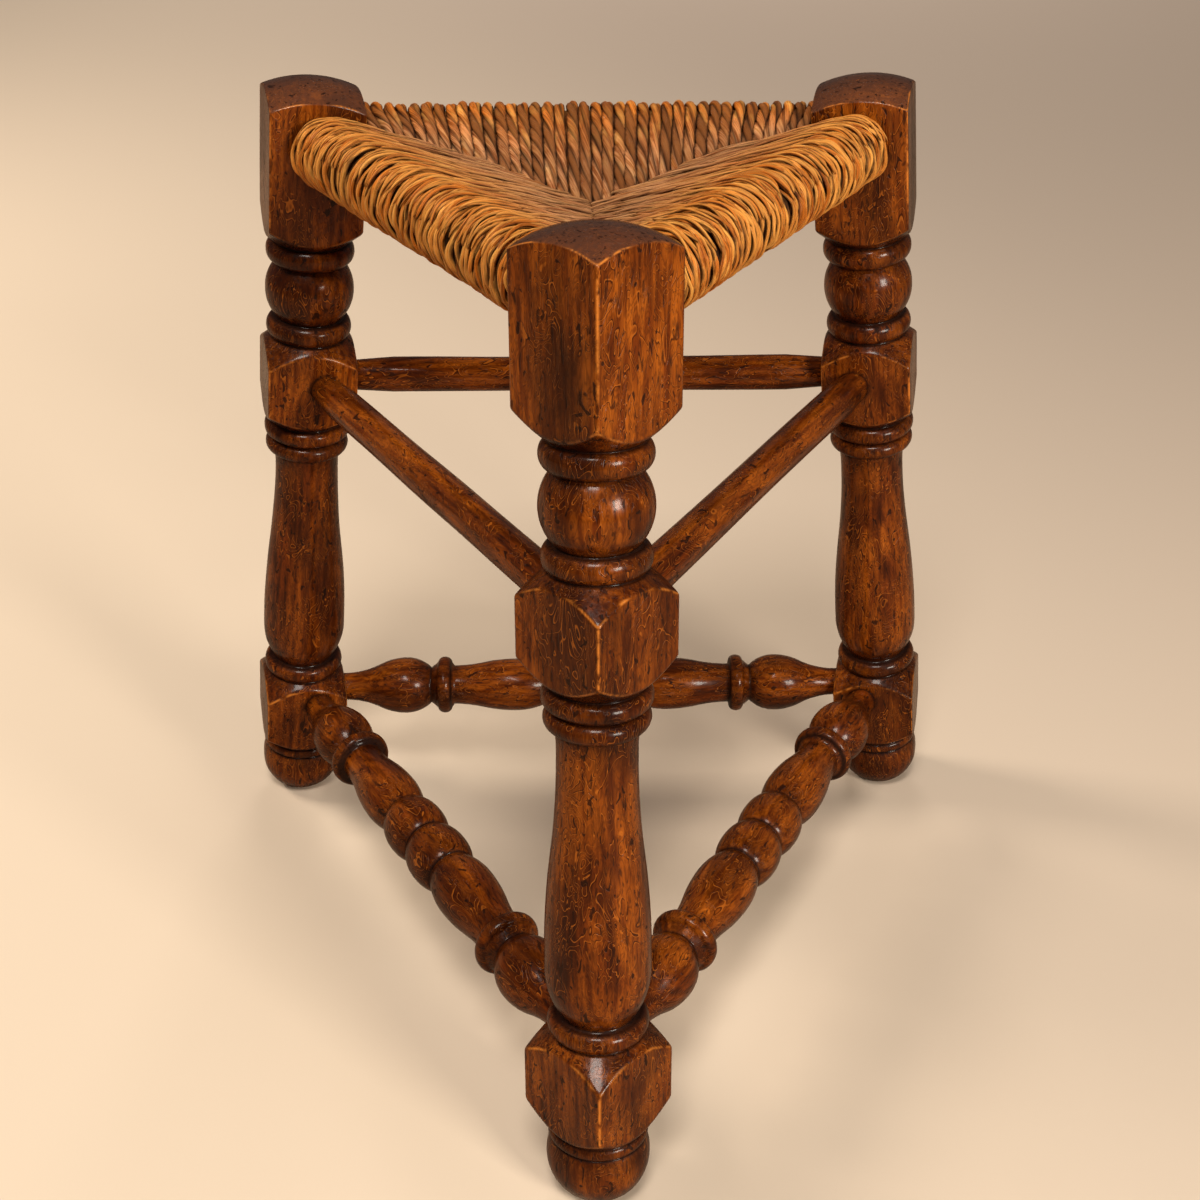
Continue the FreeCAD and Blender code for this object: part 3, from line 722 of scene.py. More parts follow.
@dataclass(frozen=True)
class DryRush:
    """Dry twisted rush: golden over the rolls, greyer where it is sat on, with painted shade in the hollows
    between strands and over the rear cords. Colours are linear.
    """

    name: str
    shadow: Colour = (0.250, 0.0530, 0.0045)
    # Browner strands, and the painted shade of the rear cords.
    brown_and_shade: Colour = (0.210, 0.0700, 0.0170)
    gold: Colour = (0.880, 0.2450, 0.0230)
    pale: Colour = (1.000, 0.4600, 0.0950)
    worn: Colour = (0.620, 0.3700, 0.2000)
    # Painted shade in the hollows between strands and over the packing.
    hollow: Colour = (0.012, 0.0022, 0.0004)
    fibre_depth: float = 0.0008

    def build(self, groups: dict[str, bpy.types.NodeTree]) -> bpy.types.Material:
        """Builds the material from the shared groups.

        Args:
            groups: The shader groups by name.

        Returns:
            The material.
        """
        material, wiring, shader = new_material(self.name)
        fibres = wiring.add("Group", node_tree=groups["fibres"])
        wiring.feed(fibres.inputs["Strand"], wiring.attribute("strand", vector=True))
        streaks = wiring.step(fibres.outputs["Streaks"], 0.30, 0.66)
        base = wiring.mixed(streaks, self.shadow, self.gold)
        base = wiring.mixed(wiring.step(fibres.outputs["Patches"], 0.45, 0.75), base, self.pale)
        tone = wiring.attribute("tone")
        lighter = wiring.sum("MULTIPLY", wiring.sum("MAXIMUM", tone, 0), 0.45)
        darker = wiring.sum("MULTIPLY", wiring.sum("MINIMUM", tone, 0), -0.80)
        base = wiring.mixed(lighter, base, self.pale)
        dust = wiring.sum("MULTIPLY", wiring.attribute("dust"), 0.68)
        base = wiring.mixed(dust, base, wiring.mixed(streaks, self.shadow, self.worn))
        # Low tones brown the strands; on the rear cords they are painted shade.
        base = wiring.mixed(darker, base, self.brown_and_shade)
        base = wiring.mixed(wiring.sum("MULTIPLY", fibres.outputs["Nicks"], 0.6), base, self.shadow)
        # Painted shade: the hollows between strands darken nearly to black.
        hollow = wiring.sum("MULTIPLY", wiring.attribute("cavity"), 0.95)
        shader.inputs["Specular IOR Level"].default_value = 0.24
        wiring.feed(shader.inputs["Base Color"], wiring.mixed(hollow, base, self.hollow))
        rough = wiring.sum("MULTIPLY_ADD", dust, 0.3, 0.32)
        wiring.feed(shader.inputs["Roughness"], wiring.sum("MULTIPLY_ADD", hollow, 0.45, rough))
        bump = wiring.add("Bump", {
            "Strength": 0.9, "Distance": self.fibre_depth, "Height": fibres.outputs["Height"],
        })
        wiring.feed(shader.inputs["Normal"], bump.outputs[0])
        return material


@dataclass(frozen=True)
class PaleFloor:
    """A plain pale floor, with painted shade to the right and far away, that throws little light back."""

    name: str
    colour: Colour = (0.80, 0.655, 0.50)
    shade: Colour = (0.58, 0.47, 0.375)
    returned: Colour = (0.38, 0.26, 0.17)
    shade_reach: Range = (-0.6, 1.0)

    def build(self) -> bpy.types.Material:
        """Builds the material.

        Returns:
            The material.
        """
        material, wiring, shader = new_material(self.name)
        place = wiring.add("TexCoord").outputs["Object"]
        parts = wiring.add("SeparateXYZ", {0: place})
        # Painted shade: the floor greys towards the shade colour to the right and far away.
        slanted = wiring.sum("MULTIPLY_ADD", parts.outputs[1], 0.25, parts.outputs[0])
        across = wiring.step(slanted, *self.shade_reach)
        seen = wiring.mixed(across, self.colour, self.shade)
        seen = wiring.mixed(wiring.sum("MULTIPLY", wiring.noise(place, 900, 2), 0.10), seen, self.shade)
        straight = wiring.add("LightPath").outputs["Is Camera Ray"]
        wiring.feed(shader.inputs["Base Color"], wiring.mixed(straight, self.returned, seen))
        shader.inputs["Roughness"].default_value = 0.8
        return material


# Legs


def unevenness(angle: Array, along: Array, rise: float, spread: float, seed: int) -> Array:
    """How uneven a turned surface is: slow waves over the angle's cosine and sine and the length.

    Args:
        angle: Angles round the axis.
        along: Places along it.
        rise: What a metre along the axis counts for.
        spread: Spatial frequency of the quickest wave.
        seed: Seed of the waves.

    Returns:
        One value a point, of unit size overall.
    """
    places = np.stack(np.broadcast_arrays(np.cos(angle), np.sin(angle), along * rise), axis=-1)
    return slow_waves(places, UNEVEN_WAVES, spread, seed)


@dataclass(frozen=True)
class TurnedLeg:
    """A leg turned from square stock set with a corner outward."""

    stance: Stance
    post: Post
    stock_width: float = 0.048
    foot_radius: float = 0.024
    foot_rise: float = 0.020
    foot_quirk: float = 0.030
    foot_ring: float = 0.0232
    foot_ring_length: float = 0.0065
    ring_quirk: float = 0.0200
    ring_length: float = 0.010
    undercut: float = 0.0012
    base_ring: float = 0.0230
    vase_base: float = 0.0170
    vase: float = 0.0240
    vase_neck: float = 0.0174
    neck_flare: float = 0.0009
    belly_length: float = 0.0225
    swell_length: float = 0.058
    hollow_length: float = 0.052
    neck_length: float = 0.0095
    lower_bead: float = 0.0229
    upper_bead: float = 0.0238
    collar: float = 0.0228
    collar_length: float = 0.011
    ball: float = 0.0236
    ball_length: float = 0.032
    crown_ring: float = 0.0233
    crown_ring_length: float = 0.012
    shoulder: float = 0.012
    small_block: float = 0.027
    top_block: float = 0.062
    dome_height: float = 0.010
    dome_start: float = 0.430
    dome_edge: float = 0.001
    # Soil with painted shade over the rings and the shoulders.
    ring_soil: float = 0.6
    shoulder_soil: float = 0.75
    clean_face_share: float = 0.85
    arris_rounding: float = 0.0020
    arris_wear_share: float = 0.4
    scallop_rounding: float = 0.0014
    scallop_wear_share: float = 0.3
    uneven_depth: float = 0.00012
    uneven_rise: float = 20
    uneven_spread: float = 2.4
    least_cosine: float = 0.05
    corner_crowding: float = 0.17
    socket_width: float = 0.0009
    stain_offset: float = 0.0100
    stain_half_width: float = 0.0105
    stain_height: float = 0.392
    stain_half_length: float = 0.036
    stock_step: Place = (0.07, 0.11, 0.61)
    seed_step: int = 30
    columns: int = 112

    @property
    def half_diagonal(self) -> float:
        """Half the diagonal of the stock."""
        return self.stock_width / math.sqrt(2)

    def block(self, length: float) -> Turning:
        """What the lathe leaves of a block: its shoulders' slopes run on past the corners."""
        pitch = (self.half_diagonal - self.ring_quirk) / self.shoulder
        return lambda share: self.half_diagonal + pitch * length * np.minimum(share, 1 - share)

    def dome(self, drop: Array) -> Array:
        """Radius of the domed top at a drop below its tip: a sphere through the stock's corners."""
        bend = (self.half_diagonal ** 2 + self.dome_height ** 2) / (2 * self.dome_height)
        return np.sqrt(np.maximum(bend ** 2 - (bend - drop) ** 2, 0))

    def profile(self) -> Profile:
        """The turned profile from the pole of the ball foot to the tip of the dome.

        Returns:
            The profile.
        """
        bottom = self.foot_rise - self.foot_radius
        foot = self.foot_quirk - bottom
        quirk_radius = math.sqrt(self.foot_radius ** 2 - (self.foot_quirk - self.foot_rise) ** 2)
        pitch = (self.half_diagonal - self.ring_quirk) / self.shoulder
        half_ball = self.ball_length / 2
        turn = turning_radius(self.vase, self.vase_neck, self.swell_length, self.hollow_length)

        def foot_ball(share: Array) -> Array:
            """Radius of the ball foot: the root of its radius squared less the height squared."""
            height = bottom + foot * share - self.foot_rise
            return np.sqrt(np.maximum(self.foot_radius ** 2 - height ** 2, 0))

        def ball(share: Array) -> Array:
            """Radius of the ball below the top block, by the same rule as the foot's."""
            return np.sqrt(self.ball ** 2 - (half_ball * (2 * share - 1)) ** 2)

        def top(share: Array) -> Array:
            """The lesser of the shoulder's slope, run on upwards, and the dome."""
            rising = self.half_diagonal + pitch * self.top_block * share
            return np.minimum(rising, self.dome(self.dome_height + self.top_block * (1 - share)))

        def full_ring(length: float, depth: float, crest: float) -> Stretch:
            """A rounded ring whose quirks are cut deeper than the shoulders beside it."""
            return Stretch(length, 16, ring(self.ring_quirk - depth, crest), True, True, self.ring_soil)

        def shoulder(start: float, end: float, quirk: bool) -> Stretch:
            """A block's sloping shoulder."""
            return Stretch(self.shoulder, 24, slope(start, end), quirk, False, self.shoulder_soil)

        foot_ring = ring(quirk_radius - self.undercut, self.foot_ring)
        flared = self.vase_neck + self.neck_flare
        block = Stretch(self.small_block, 16, self.block(self.small_block), crowded=True)
        rise = shoulder(self.ring_quirk, self.half_diagonal, True)
        fall = shoulder(self.half_diagonal, self.ring_quirk, False)
        return Profile.of(bottom, [
            Stretch(foot, 30, foot_ball, crowded=True),
            Stretch(self.foot_ring_length, 12, foot_ring, True, True, self.ring_soil),
            shoulder(quirk_radius, self.half_diagonal, True),
            block,
            fall,
            full_ring(self.ring_length, self.undercut, self.base_ring),
            Stretch(self.belly_length, 18, arc(self.vase_base, self.vase, self.belly_length, False), True),
            Stretch(self.swell_length, 20, arc(self.vase, turn, self.swell_length, True)),
            Stretch(self.hollow_length, 16, arc(turn, self.vase_neck, self.hollow_length, False)),
            Stretch(self.neck_length, 8, arc(self.vase_neck, flared, self.neck_length, True)),
            full_ring(self.ring_length, 2 * self.undercut, self.lower_bead),
            full_ring(self.ring_length, self.undercut, self.upper_bead),
            rise,
            block,
            fall,
            full_ring(self.collar_length, self.undercut, self.collar),
            Stretch(self.ball_length, 36, ball, True, True),
            full_ring(self.crown_ring_length, self.undercut, self.crown_ring),
            rise,
            Stretch(self.top_block, 40, top, crowded=True),
            Stretch(self.dome_height, 34, lambda share: self.dome(self.dome_height * (1 - share))),
        ])

    def angles(self) -> Array:
        """Angles round the leg, drawn together at the stock's four corners."""
        even = np.linspace(0, math.tau, self.columns, endpoint=False)
        return even - self.corner_crowding * np.sin(4 * even)

    def build(self, material: bpy.types.Material) -> None:
        """Makes the leg.

        The radius at an angle and a height is the lesser of the turned profile and the square stock, a flat
        face at half the width over the greater of the angle's cosine and sine to the nearest face.

        Args:
            material: Its finish.
        """
        profile = self.profile()
        angle = self.angles()[None, :]
        along = profile.along[:, None]
        seed = abs(self.post.value)
        uneven = unevenness(angle, along, self.uneven_rise, self.uneven_spread, seed)
        to_face = angle - math.pi / 4
        half = self.stock_width / 2
        first = half / np.maximum(np.abs(np.cos(to_face)), self.least_cosine)
        second = half / np.maximum(np.abs(np.sin(to_face)), self.least_cosine)
        arris_rounding = self.arris_rounding * (1 + self.arris_wear_share * np.tanh(uneven))
        stock, arris = soft_least(first, second, arris_rounding)
        turned = profile.radius[:, None]
        scallop_rounding = self.scallop_rounding * (1 + self.scallop_wear_share * np.tanh(uneven))
        radius, scallop = soft_least(turned, stock, scallop_rounding)
        scallop = scallop * np.clip((turned - self.vase) / self.scallop_rounding, 0, 1)
        squared = np.clip((turned - stock) / self.scallop_rounding, 0, 1)
        radius = radius + self.uneven_depth * uneven
        local = np.stack((radius * np.cos(angle), radius * np.sin(angle), along + 0 * angle), axis=-1)
        points = self.stance.stand(self.post, local)
        points[..., 2] = np.maximum(points[..., 2], 0)
        recess = profile.recess[:, None] * (turned < stock) + self.sockets(points)
        # Soil with painted shade, mostly taken off the flat faces, plus a stain.
        soil = profile.soil[:, None] * (1 - self.clean_face_share * squared) + self.stain(local)
        crown = np.clip((along - self.dome_start) / self.dome_edge, 0, 1) * (1 - squared)
        tubes = Tubes(points[None], {
            "stock": (local + np.array(self.stock_step) * seed / self.seed_step)[None],
            # Scallops and arrises take the rubbed colour with its painted highlight.
            "edge": np.clip(np.maximum(scallop, arris * squared), 0, 1)[None],
            "recess": np.clip(recess, 0, 1)[None],
            "soil": np.clip(soil, 0, 1)[None],
            "flat": squared[None],
            "crown": crown[None],
        })
        make_piece(self.post.node + "_turned", tubes, material, [self.post.node])

    def stain(self, local: Array) -> Array:
        """A dark stain on the outer faces of the top block, a little to one side of their corner.

        It falls off by e to the power of minus the square of the distance aside and minus the fourth power of
        that along the leg, each over its half size.

        Args:
            local: Points about the leg's own axis.

        Returns:
            A mask from 0 to 1.
        """
        aside = (local[..., 1] + self.stain_offset) / self.stain_half_width
        beside = (local[..., 2] - self.stain_height) / self.stain_half_length
        return np.exp(-aside ** 2 - beside ** 4) * (local[..., 0] > 0)

    def sockets(self, points: Array) -> Array:
        """Dark lines where round tenons enter the blocks, by the distance from each rail's axis.

        Args:
            points: The leg's points where it stands.

        Returns:
            A mask that is 1 at a tenon's radius and falls off over the line's width.
        """
        total = np.zeros(points.shape[:-1])
        rows = (
            (Stretchers.UPPER_HEIGHT, Stretchers.UPPER_TENON),
            (Stretchers.LOWER_HEIGHT, Stretchers.LOWER_TENON),
        )
        for height, radius in rows:
            for side in Side:
                ends = self.stance.lay(side, height, np.array([-1.0, 1.0]), np.zeros(2), np.zeros(2))
                way = (ends[1] - ends[0]) / np.linalg.norm(ends[1] - ends[0])
                off = points - ends.mean(axis=0)
                place = off @ way
                away = np.linalg.norm(off - place[..., None] * way, axis=-1)
                between = np.abs(place) < self.stance.half_span(height)
                total += between * np.exp(-((away - radius) / self.socket_width) ** 2)
        return total


# Stretchers


@dataclass(frozen=True)
class Stretchers:
    """The plain upper and the turned lower stretcher of each side."""

    stance: Stance
    face: float = 0.02485
    sunk: float = 0.003
    upper_radius: float = 0.0095
    upper_taper: float = 0.022
    upper_flats_share: float = 0.011
    neck_length: float = 0.022
    bulb: float = 0.0170
    bulb_quirk: float = 0.0106
    bulb_rise_length: float = 0.016
    bulb_fall_length: float = 0.0155
    disc: float = 0.0172
    disc_flank: float = 0.0140
    disc_length: float = 0.0125
    flank_length: float = 0.0042
    vase: float = 0.0161
    vase_neck: float = 0.0117
    vase_hollow_length: float = 0.020
    vase_swell_length: float = 0.020
    vase_fall_length: float = 0.018
    bead: float = 0.0166
    bead_quirk: float = 0.0124
    bead_length: float = 0.028
    # Soil with painted shade over the flanks, discs and beads.
    flank_soil: float = 0.8
    disc_soil: float = 0.5
    bead_soil: float = 0.25
    uneven_depth: float = 0.00013
    uneven_rise: float = 14
    uneven_spread: float = 2.0
    flats: int = 7
    flats_twist: float = 3
    flats_rate: float = 9
    joint_width: float = 0.0016
    crest_radius: float = 0.0150
    crest_width: float = 0.0014
    crest_share: float = 0.35
    stock_step: Place = (0.05, 0.09, 0.43)
    seed_step: int = 20
    columns: int = 56

    UPPER_HEIGHT = 0.285
    UPPER_TENON = 0.0081
    LOWER_HEIGHT = 0.070
    LOWER_TENON = 0.0082
    RAIL_HEIGHT = 0.4185

    def visible_half(self, height: float) -> float:
        """Half the length of a stretcher from block to block, and a little way into them."""
        return self.stance.half_span(height) - self.face + self.sunk

    def upper(self) -> Profile:
        """A plain dowel, thinner near its ends.

        Returns:
            Its profile.
        """
        half = self.visible_half(self.UPPER_HEIGHT)
        tenon, radius, taper = self.UPPER_TENON, self.upper_radius, self.upper_taper
        return Profile.of(-half, [
            Stretch(self.sunk, 3, level(tenon)),
            Stretch(taper, 14, slope(tenon, radius)),
            Stretch(2 * (half - taper - self.sunk), 60, level(radius)),
            Stretch(taper, 14, slope(radius, tenon)),
            Stretch(self.sunk, 3, level(tenon)),
        ])

    def lower(self) -> Profile:
        """Bulbs, discs and vases on either side of two barrel beads.

        Returns:
            Its profile.
        """
        tenon = self.LOWER_TENON
        neck, rise, fall = self.neck_length, self.bulb_rise_length, self.bulb_fall_length
        hollow, swell, tail = self.vase_hollow_length, self.vase_swell_length, self.vase_fall_length
        bulb_turn = turning_radius(self.bulb, tenon, rise, neck)
        vase_turn = turning_radius(self.vase, self.vase_neck, swell, hollow)
        flank = slope(self.bulb_quirk, self.disc_flank)
        disc = ring(self.disc_flank, self.disc)
        bead = ring_of_bead(self.bead_quirk, self.bead)
        turned = [
            Stretch(neck, 10, arc(tenon, bulb_turn, neck, True)),
            Stretch(rise, 12, arc(bulb_turn, self.bulb, rise, False)),
            Stretch(fall, 16, arc(self.bulb, self.bulb_quirk, fall, True)),
            Stretch(self.flank_length, 6, flank, True, False, self.flank_soil),
            Stretch(self.disc_length - self.flank_length, 14, disc, False, True, self.disc_soil),
            Stretch(hollow, 12, arc(self.vase_neck, vase_turn, hollow, True), True),
            Stretch(swell, 12, arc(vase_turn, self.vase, swell, False)),
            Stretch(tail, 16, arc(self.vase, self.bead_quirk, tail, True)),
            Stretch(self.bead_length, 26, bead, True, True, self.bead_soil),
        ]
        half = self.visible_half(self.LOWER_HEIGHT)
        end = Stretch(half - sum(stretch.length for stretch in turned), 10, level(tenon))
        return Profile.of(-half, [end, *turned, *mirrored(turned), end])

    def build(self, material: bpy.types.Material) -> None:
        """Makes all six stretchers.

        Args:
            material: Their finish.
        """
        for side in Side:
            flats = self.upper_flats_share
            self.turn(side, "upper_stretcher", self.upper(), self.UPPER_HEIGHT, flats, material)
            self.turn(side, "lower_stretcher", self.lower(), self.LOWER_HEIGHT, 0.0, material)

    def turn(
        self, side: Side, row: str, profile: Profile, height: float, flats: float,
        material: bpy.types.Material,
    ) -> None:
        """Turns one stretcher about its axis and lays it in its side.

        The radius is the profile's, times 1 plus the flats' depth times a cosine round the axis, plus the
        unevenness.

        Args:
            side: Where it lies.
            row: The row that it belongs to.
            profile: Its turned profile.
            height: Height of its axis along the legs.
            flats: Depth of the flats that the spokeshave left, as a share of the radius.
            material: Its finish.
        """
        seed = abs(side.value) + len(row)
        angle = np.linspace(0, math.tau, self.columns, endpoint=False)[None, :]
        along = profile.along[:, None]
        turned = profile.radius[:, None]
        uneven = unevenness(angle, along, self.uneven_rise, self.uneven_spread, seed)
        twist = self.flats_twist * np.sin(self.flats_rate * along + seed)
        radius = turned * (1 + flats * np.cos(self.flats * angle + twist)) + self.uneven_depth * uneven
        inward = -radius * np.cos(angle)
        up = -radius * np.sin(angle)
        none = 0 * along + 0 * angle
        whole_along = along + none
        points = self.stance.lay(side, height, whole_along, -inward, up)
        end = self.visible_half(height) - self.sunk
        recess = profile.recess[:, None] + np.exp(-((end - np.abs(along)) / self.joint_width) ** 2) + none
        # Crests take the rubbed colour with its painted highlight.
        crest = np.clip((turned - self.crest_radius) / self.crest_width, 0, 1) * self.crest_share + none
        local = np.stack((inward, up, whole_along), axis=-1)
        tubes = Tubes(points[None], {
            "stock": (local + np.array(self.stock_step) * seed / self.seed_step)[None],
            "edge": np.clip(crest, 0, 1)[None],
            "recess": np.clip(recess, 0, 1)[None],
            # Soil with painted shade round the quirks and over the flanks, discs and beads.
            "soil": (profile.soil[:, None] + none)[None],
            "flat": none[None],
            "crown": none[None],
        })
        node = side.node(row)
        make_piece(node + "_turned", tubes, material, [node])


def ring_of_bead(quirk: float, crest: float) -> Turning:
    """A long barrel bead: (1 less the distance from its middle to the power 2.2) to the power 0.72."""
    return lambda share: quirk + (crest - quirk) * (1 - np.abs(2 * share - 1) ** 2.2) ** 0.72


def mirrored(stretches: list[Stretch]) -> list[Stretch]:
    """The same stretches in the opposite order, each turned end for end.

    Args:
        stretches: The stretches in order.

    Returns:
        The mirrored ones. A quirk lies where a stretch starts, so it passes to the stretch before.
    """
    turned = []
    quirk = stretches[-1].quirk
    for stretch in reversed(stretches):
        shape = stretch.radius
        turned.append(Stretch(
            stretch.length, stretch.rows, lambda share, shape=shape: shape(1 - share), quirk, stretch.crowded,
            stretch.soil_and_shade_level,
        ))
        quirk = stretch.quirk
    return turned


# Rush


@dataclass(frozen=True)
class RushSection:
    """The rush across a rail: in over the top, round the roll and back underneath.

    The top is the line from the seat's sunk middle that touches the roll's circle, and so is the underside.
    """

    apothem: float
    roll: float = 0.0175
    overhang: float = 0.005
    dip: float = 0.027
    middle_thickness: float = 0.021
    top_rows: int = 34
    roll_rows: int = 30
    under_rows: int = 8

    @property
    def rows(self) -> int:
        """Rows of a strand's path."""
        return self.top_rows + self.roll_rows + self.under_rows

    def touch(self, height: float, roll: float, side: int) -> float:
        """Angle at which a line to the inner end, at a height, touches the roll."""
        across = self.apothem + self.overhang
        return math.atan2(height, across) + side * math.acos(roll / math.hypot(height, across))

    def path(self, reach: Array, inset: float, tuck: float, drop: float) -> tuple[Array, Array, Array, Array]:
        """Follows the section at a depth below its surface.

        Args:
            reach: How far inward each strand runs, one value a strand.
            inset: Depth below the surface.
            tuck: How far each strand runs on past its reach, out of sight.
            drop: How far it sinks over that.

        Returns:
            Inward places and heights, strands by rows, the angle of the surface's normal by rows, and the
            share of the way to the reach, strands by rows.
        """
        roll = self.roll - inset
        over = self.touch(self.roll - self.dip - inset, roll, 1)
        under = self.touch(self.roll - self.dip - self.middle_thickness + inset, roll, -1) + math.tau
        down = np.linspace(1, 0, self.top_rows, endpoint=False)[None, :]
        out = np.linspace(0, 1, self.under_rows)[None, :]
        turn = np.linspace(over, under, self.roll_rows, endpoint=False)
        reach = reach + self.overhang
        ends = (reach + tuck)[:, None]
        top = roll * math.cos(over) + (ends - roll * math.cos(over)) * down
        base = roll * math.cos(under) + (ends - roll * math.cos(under)) * out
        top_up = (roll - top * math.cos(over)) / math.sin(over)
        base_up = (roll - base * math.cos(under)) / math.sin(under)
        past = np.clip((top - reach[:, None]) / max(tuck, 1e-6), 0, 1)
        past_base = np.clip((base - reach[:, None]) / max(tuck, 1e-6), 0, 1)
        round_in = np.broadcast_to(roll * np.cos(turn), (len(reach), self.roll_rows))
        round_up = np.broadcast_to(roll * np.sin(turn), (len(reach), self.roll_rows))
        inward = np.concatenate((top, round_in, base), axis=1) - self.overhang
        up = np.concatenate((top_up - drop * past ** 2, round_up, base_up + drop * past_base ** 2), axis=1)
        normal = np.concatenate((np.full(self.top_rows, over), turn, np.full(self.under_rows, under)))
        share = np.concatenate((down + 0 * ends, 0 * round_in, out + 0 * ends), axis=1)
        return inward, up, normal, share


@dataclass(frozen=True)
class Paths:
    """Paths of a set of cords: strands by rows, with three more for places and directions."""

    centre: Array
    across: Array
    outward: Array
    length: Array
    share: Array

    @classmethod
    def laid(
        cls, stance: Stance, side: Side, height: float, along: Array, inward: Array, up: Array, normal: Array,
        share: Array,
    ) -> "Paths":
        """Lays paths in one side and works out the directions across them and out of the surface.

        Args:
            stance: The stool's stance.
            side: The side that they lie in.
            height: Height of the rail along the legs.
            along: Places along the rail, strands by rows.
            inward: Inward places.
            up: Heights over the rail's axis.
            normal: Angle of the surface's normal, by rows.
            share: Share of the way in over the seat.

        Returns:
            The paths.
        """
        centre = stance.lay(side, height, along, inward, up)
        tangent = np.gradient(centre, axis=1)
        tangent /= np.linalg.norm(tangent, axis=-1, keepdims=True)
        outward = stance.lay(side, 0, 0 * normal, np.cos(normal), np.sin(normal))
        outward = outward - stance.lay(side, 0, 0 * normal, 0 * normal, 0 * normal)
        outward = np.broadcast_to(outward, centre.shape)
        outward = outward - (outward * tangent).sum(axis=-1, keepdims=True) * tangent
        outward /= np.linalg.norm(outward, axis=-1, keepdims=True)
        steps = np.linalg.norm(np.diff(centre, axis=1), axis=-1)
        length = np.concatenate((np.zeros((len(centre), 1)), np.cumsum(steps, axis=1)), axis=1)
        return cls(centre, np.cross(outward, tangent), outward, length, share)

    def stretch(self, start: Array, end: Array, rows: int) -> "Paths":
        """Cuts one stretch out of each path.

        Args:
            start: Row at which each starts, which need not be whole.
            end: Row at which each ends.
            rows: Rows of the new paths.

        Returns:
            The stretches.
        """
        place = start[:, None] + (end - start)[:, None] * np.linspace(0, 1, rows)
        below = np.clip(np.floor(place).astype(int), 0, self.length.shape[1] - 2)
        strand = np.arange(len(place))[:, None]
        past = place - below

        def between(values: Array) -> Array:
            """Values between two rows."""
            weight = past[..., None] if values.ndim == 3 else past
            return values[strand, below] * (1 - weight) + values[strand, below + 1] * weight

        return Paths(*(between(values) for values in (
            self.centre, self.across, self.outward, self.length, self.share
        )))


def ripple(place: Array, phases: Array, terms: Terms) -> Array:
    """A sum of sines along strands: each is a size times the sine of a rate times the place plus a phase.

    Args:
        place: Places along the strands, strands by rows.
        phases: Phases, strands by terms.
        terms: Rate and size of each sine.

    Returns:
        The sum, strands by rows.
    """
    return sum(size * np.sin(place * rate + phases[:, [number]]) for number, (rate, size) in enumerate(terms))


@dataclass(frozen=True)
class Ribbon:
    """Ellipses along strands: their middles, the unit vectors of both axes, and the radii along them."""

    middle: Array
    first: Array
    second: Array
    first_radius: Array
    second_radius: Array


@dataclass(frozen=True)
class Shading:
    """Painted shade on a cord's low parts: how far its crest is from its path, half its width, and how dark
    its sides and the grooves between its strands are painted."""

    crest: Array | float
    half: Array | float
    slit: Array | float
    groove: float

    LOW_SHARES = (0.52, 0.62)
    GROOVE_SHARES = (0.94, 0.26)
    SLIT_SHARES = (0.68, 0.22)

    def cavity(self, off: Array, paths: Paths) -> Array:
        """Painted shade on points, by their depth under the crest, their distance from the path, and aside.

        Args:
            off: Points less their path's, strands by rows by columns by three.
            paths: The cords' paths.

        Returns:
            Painted shade from 0 to 1.
        """
        depth = (off * paths.outward[:, :, None]).sum(axis=-1) / self.crest
        reach = np.linalg.norm(off, axis=-1) / self.crest
        aside = np.abs((off * paths.across[:, :, None]).sum(axis=-1)) / self.half
        below, fade = self.LOW_SHARES
        within, groove_fade = self.GROOVE_SHARES
        beyond, slit_fade = self.SLIT_SHARES
        low = np.maximum((below - depth) / fade, self.groove * (within - reach) / groove_fade)
        return np.clip(np.maximum(low, self.slit * np.clip((aside - beyond) / slit_fade, 0, 1)), 0, 1)


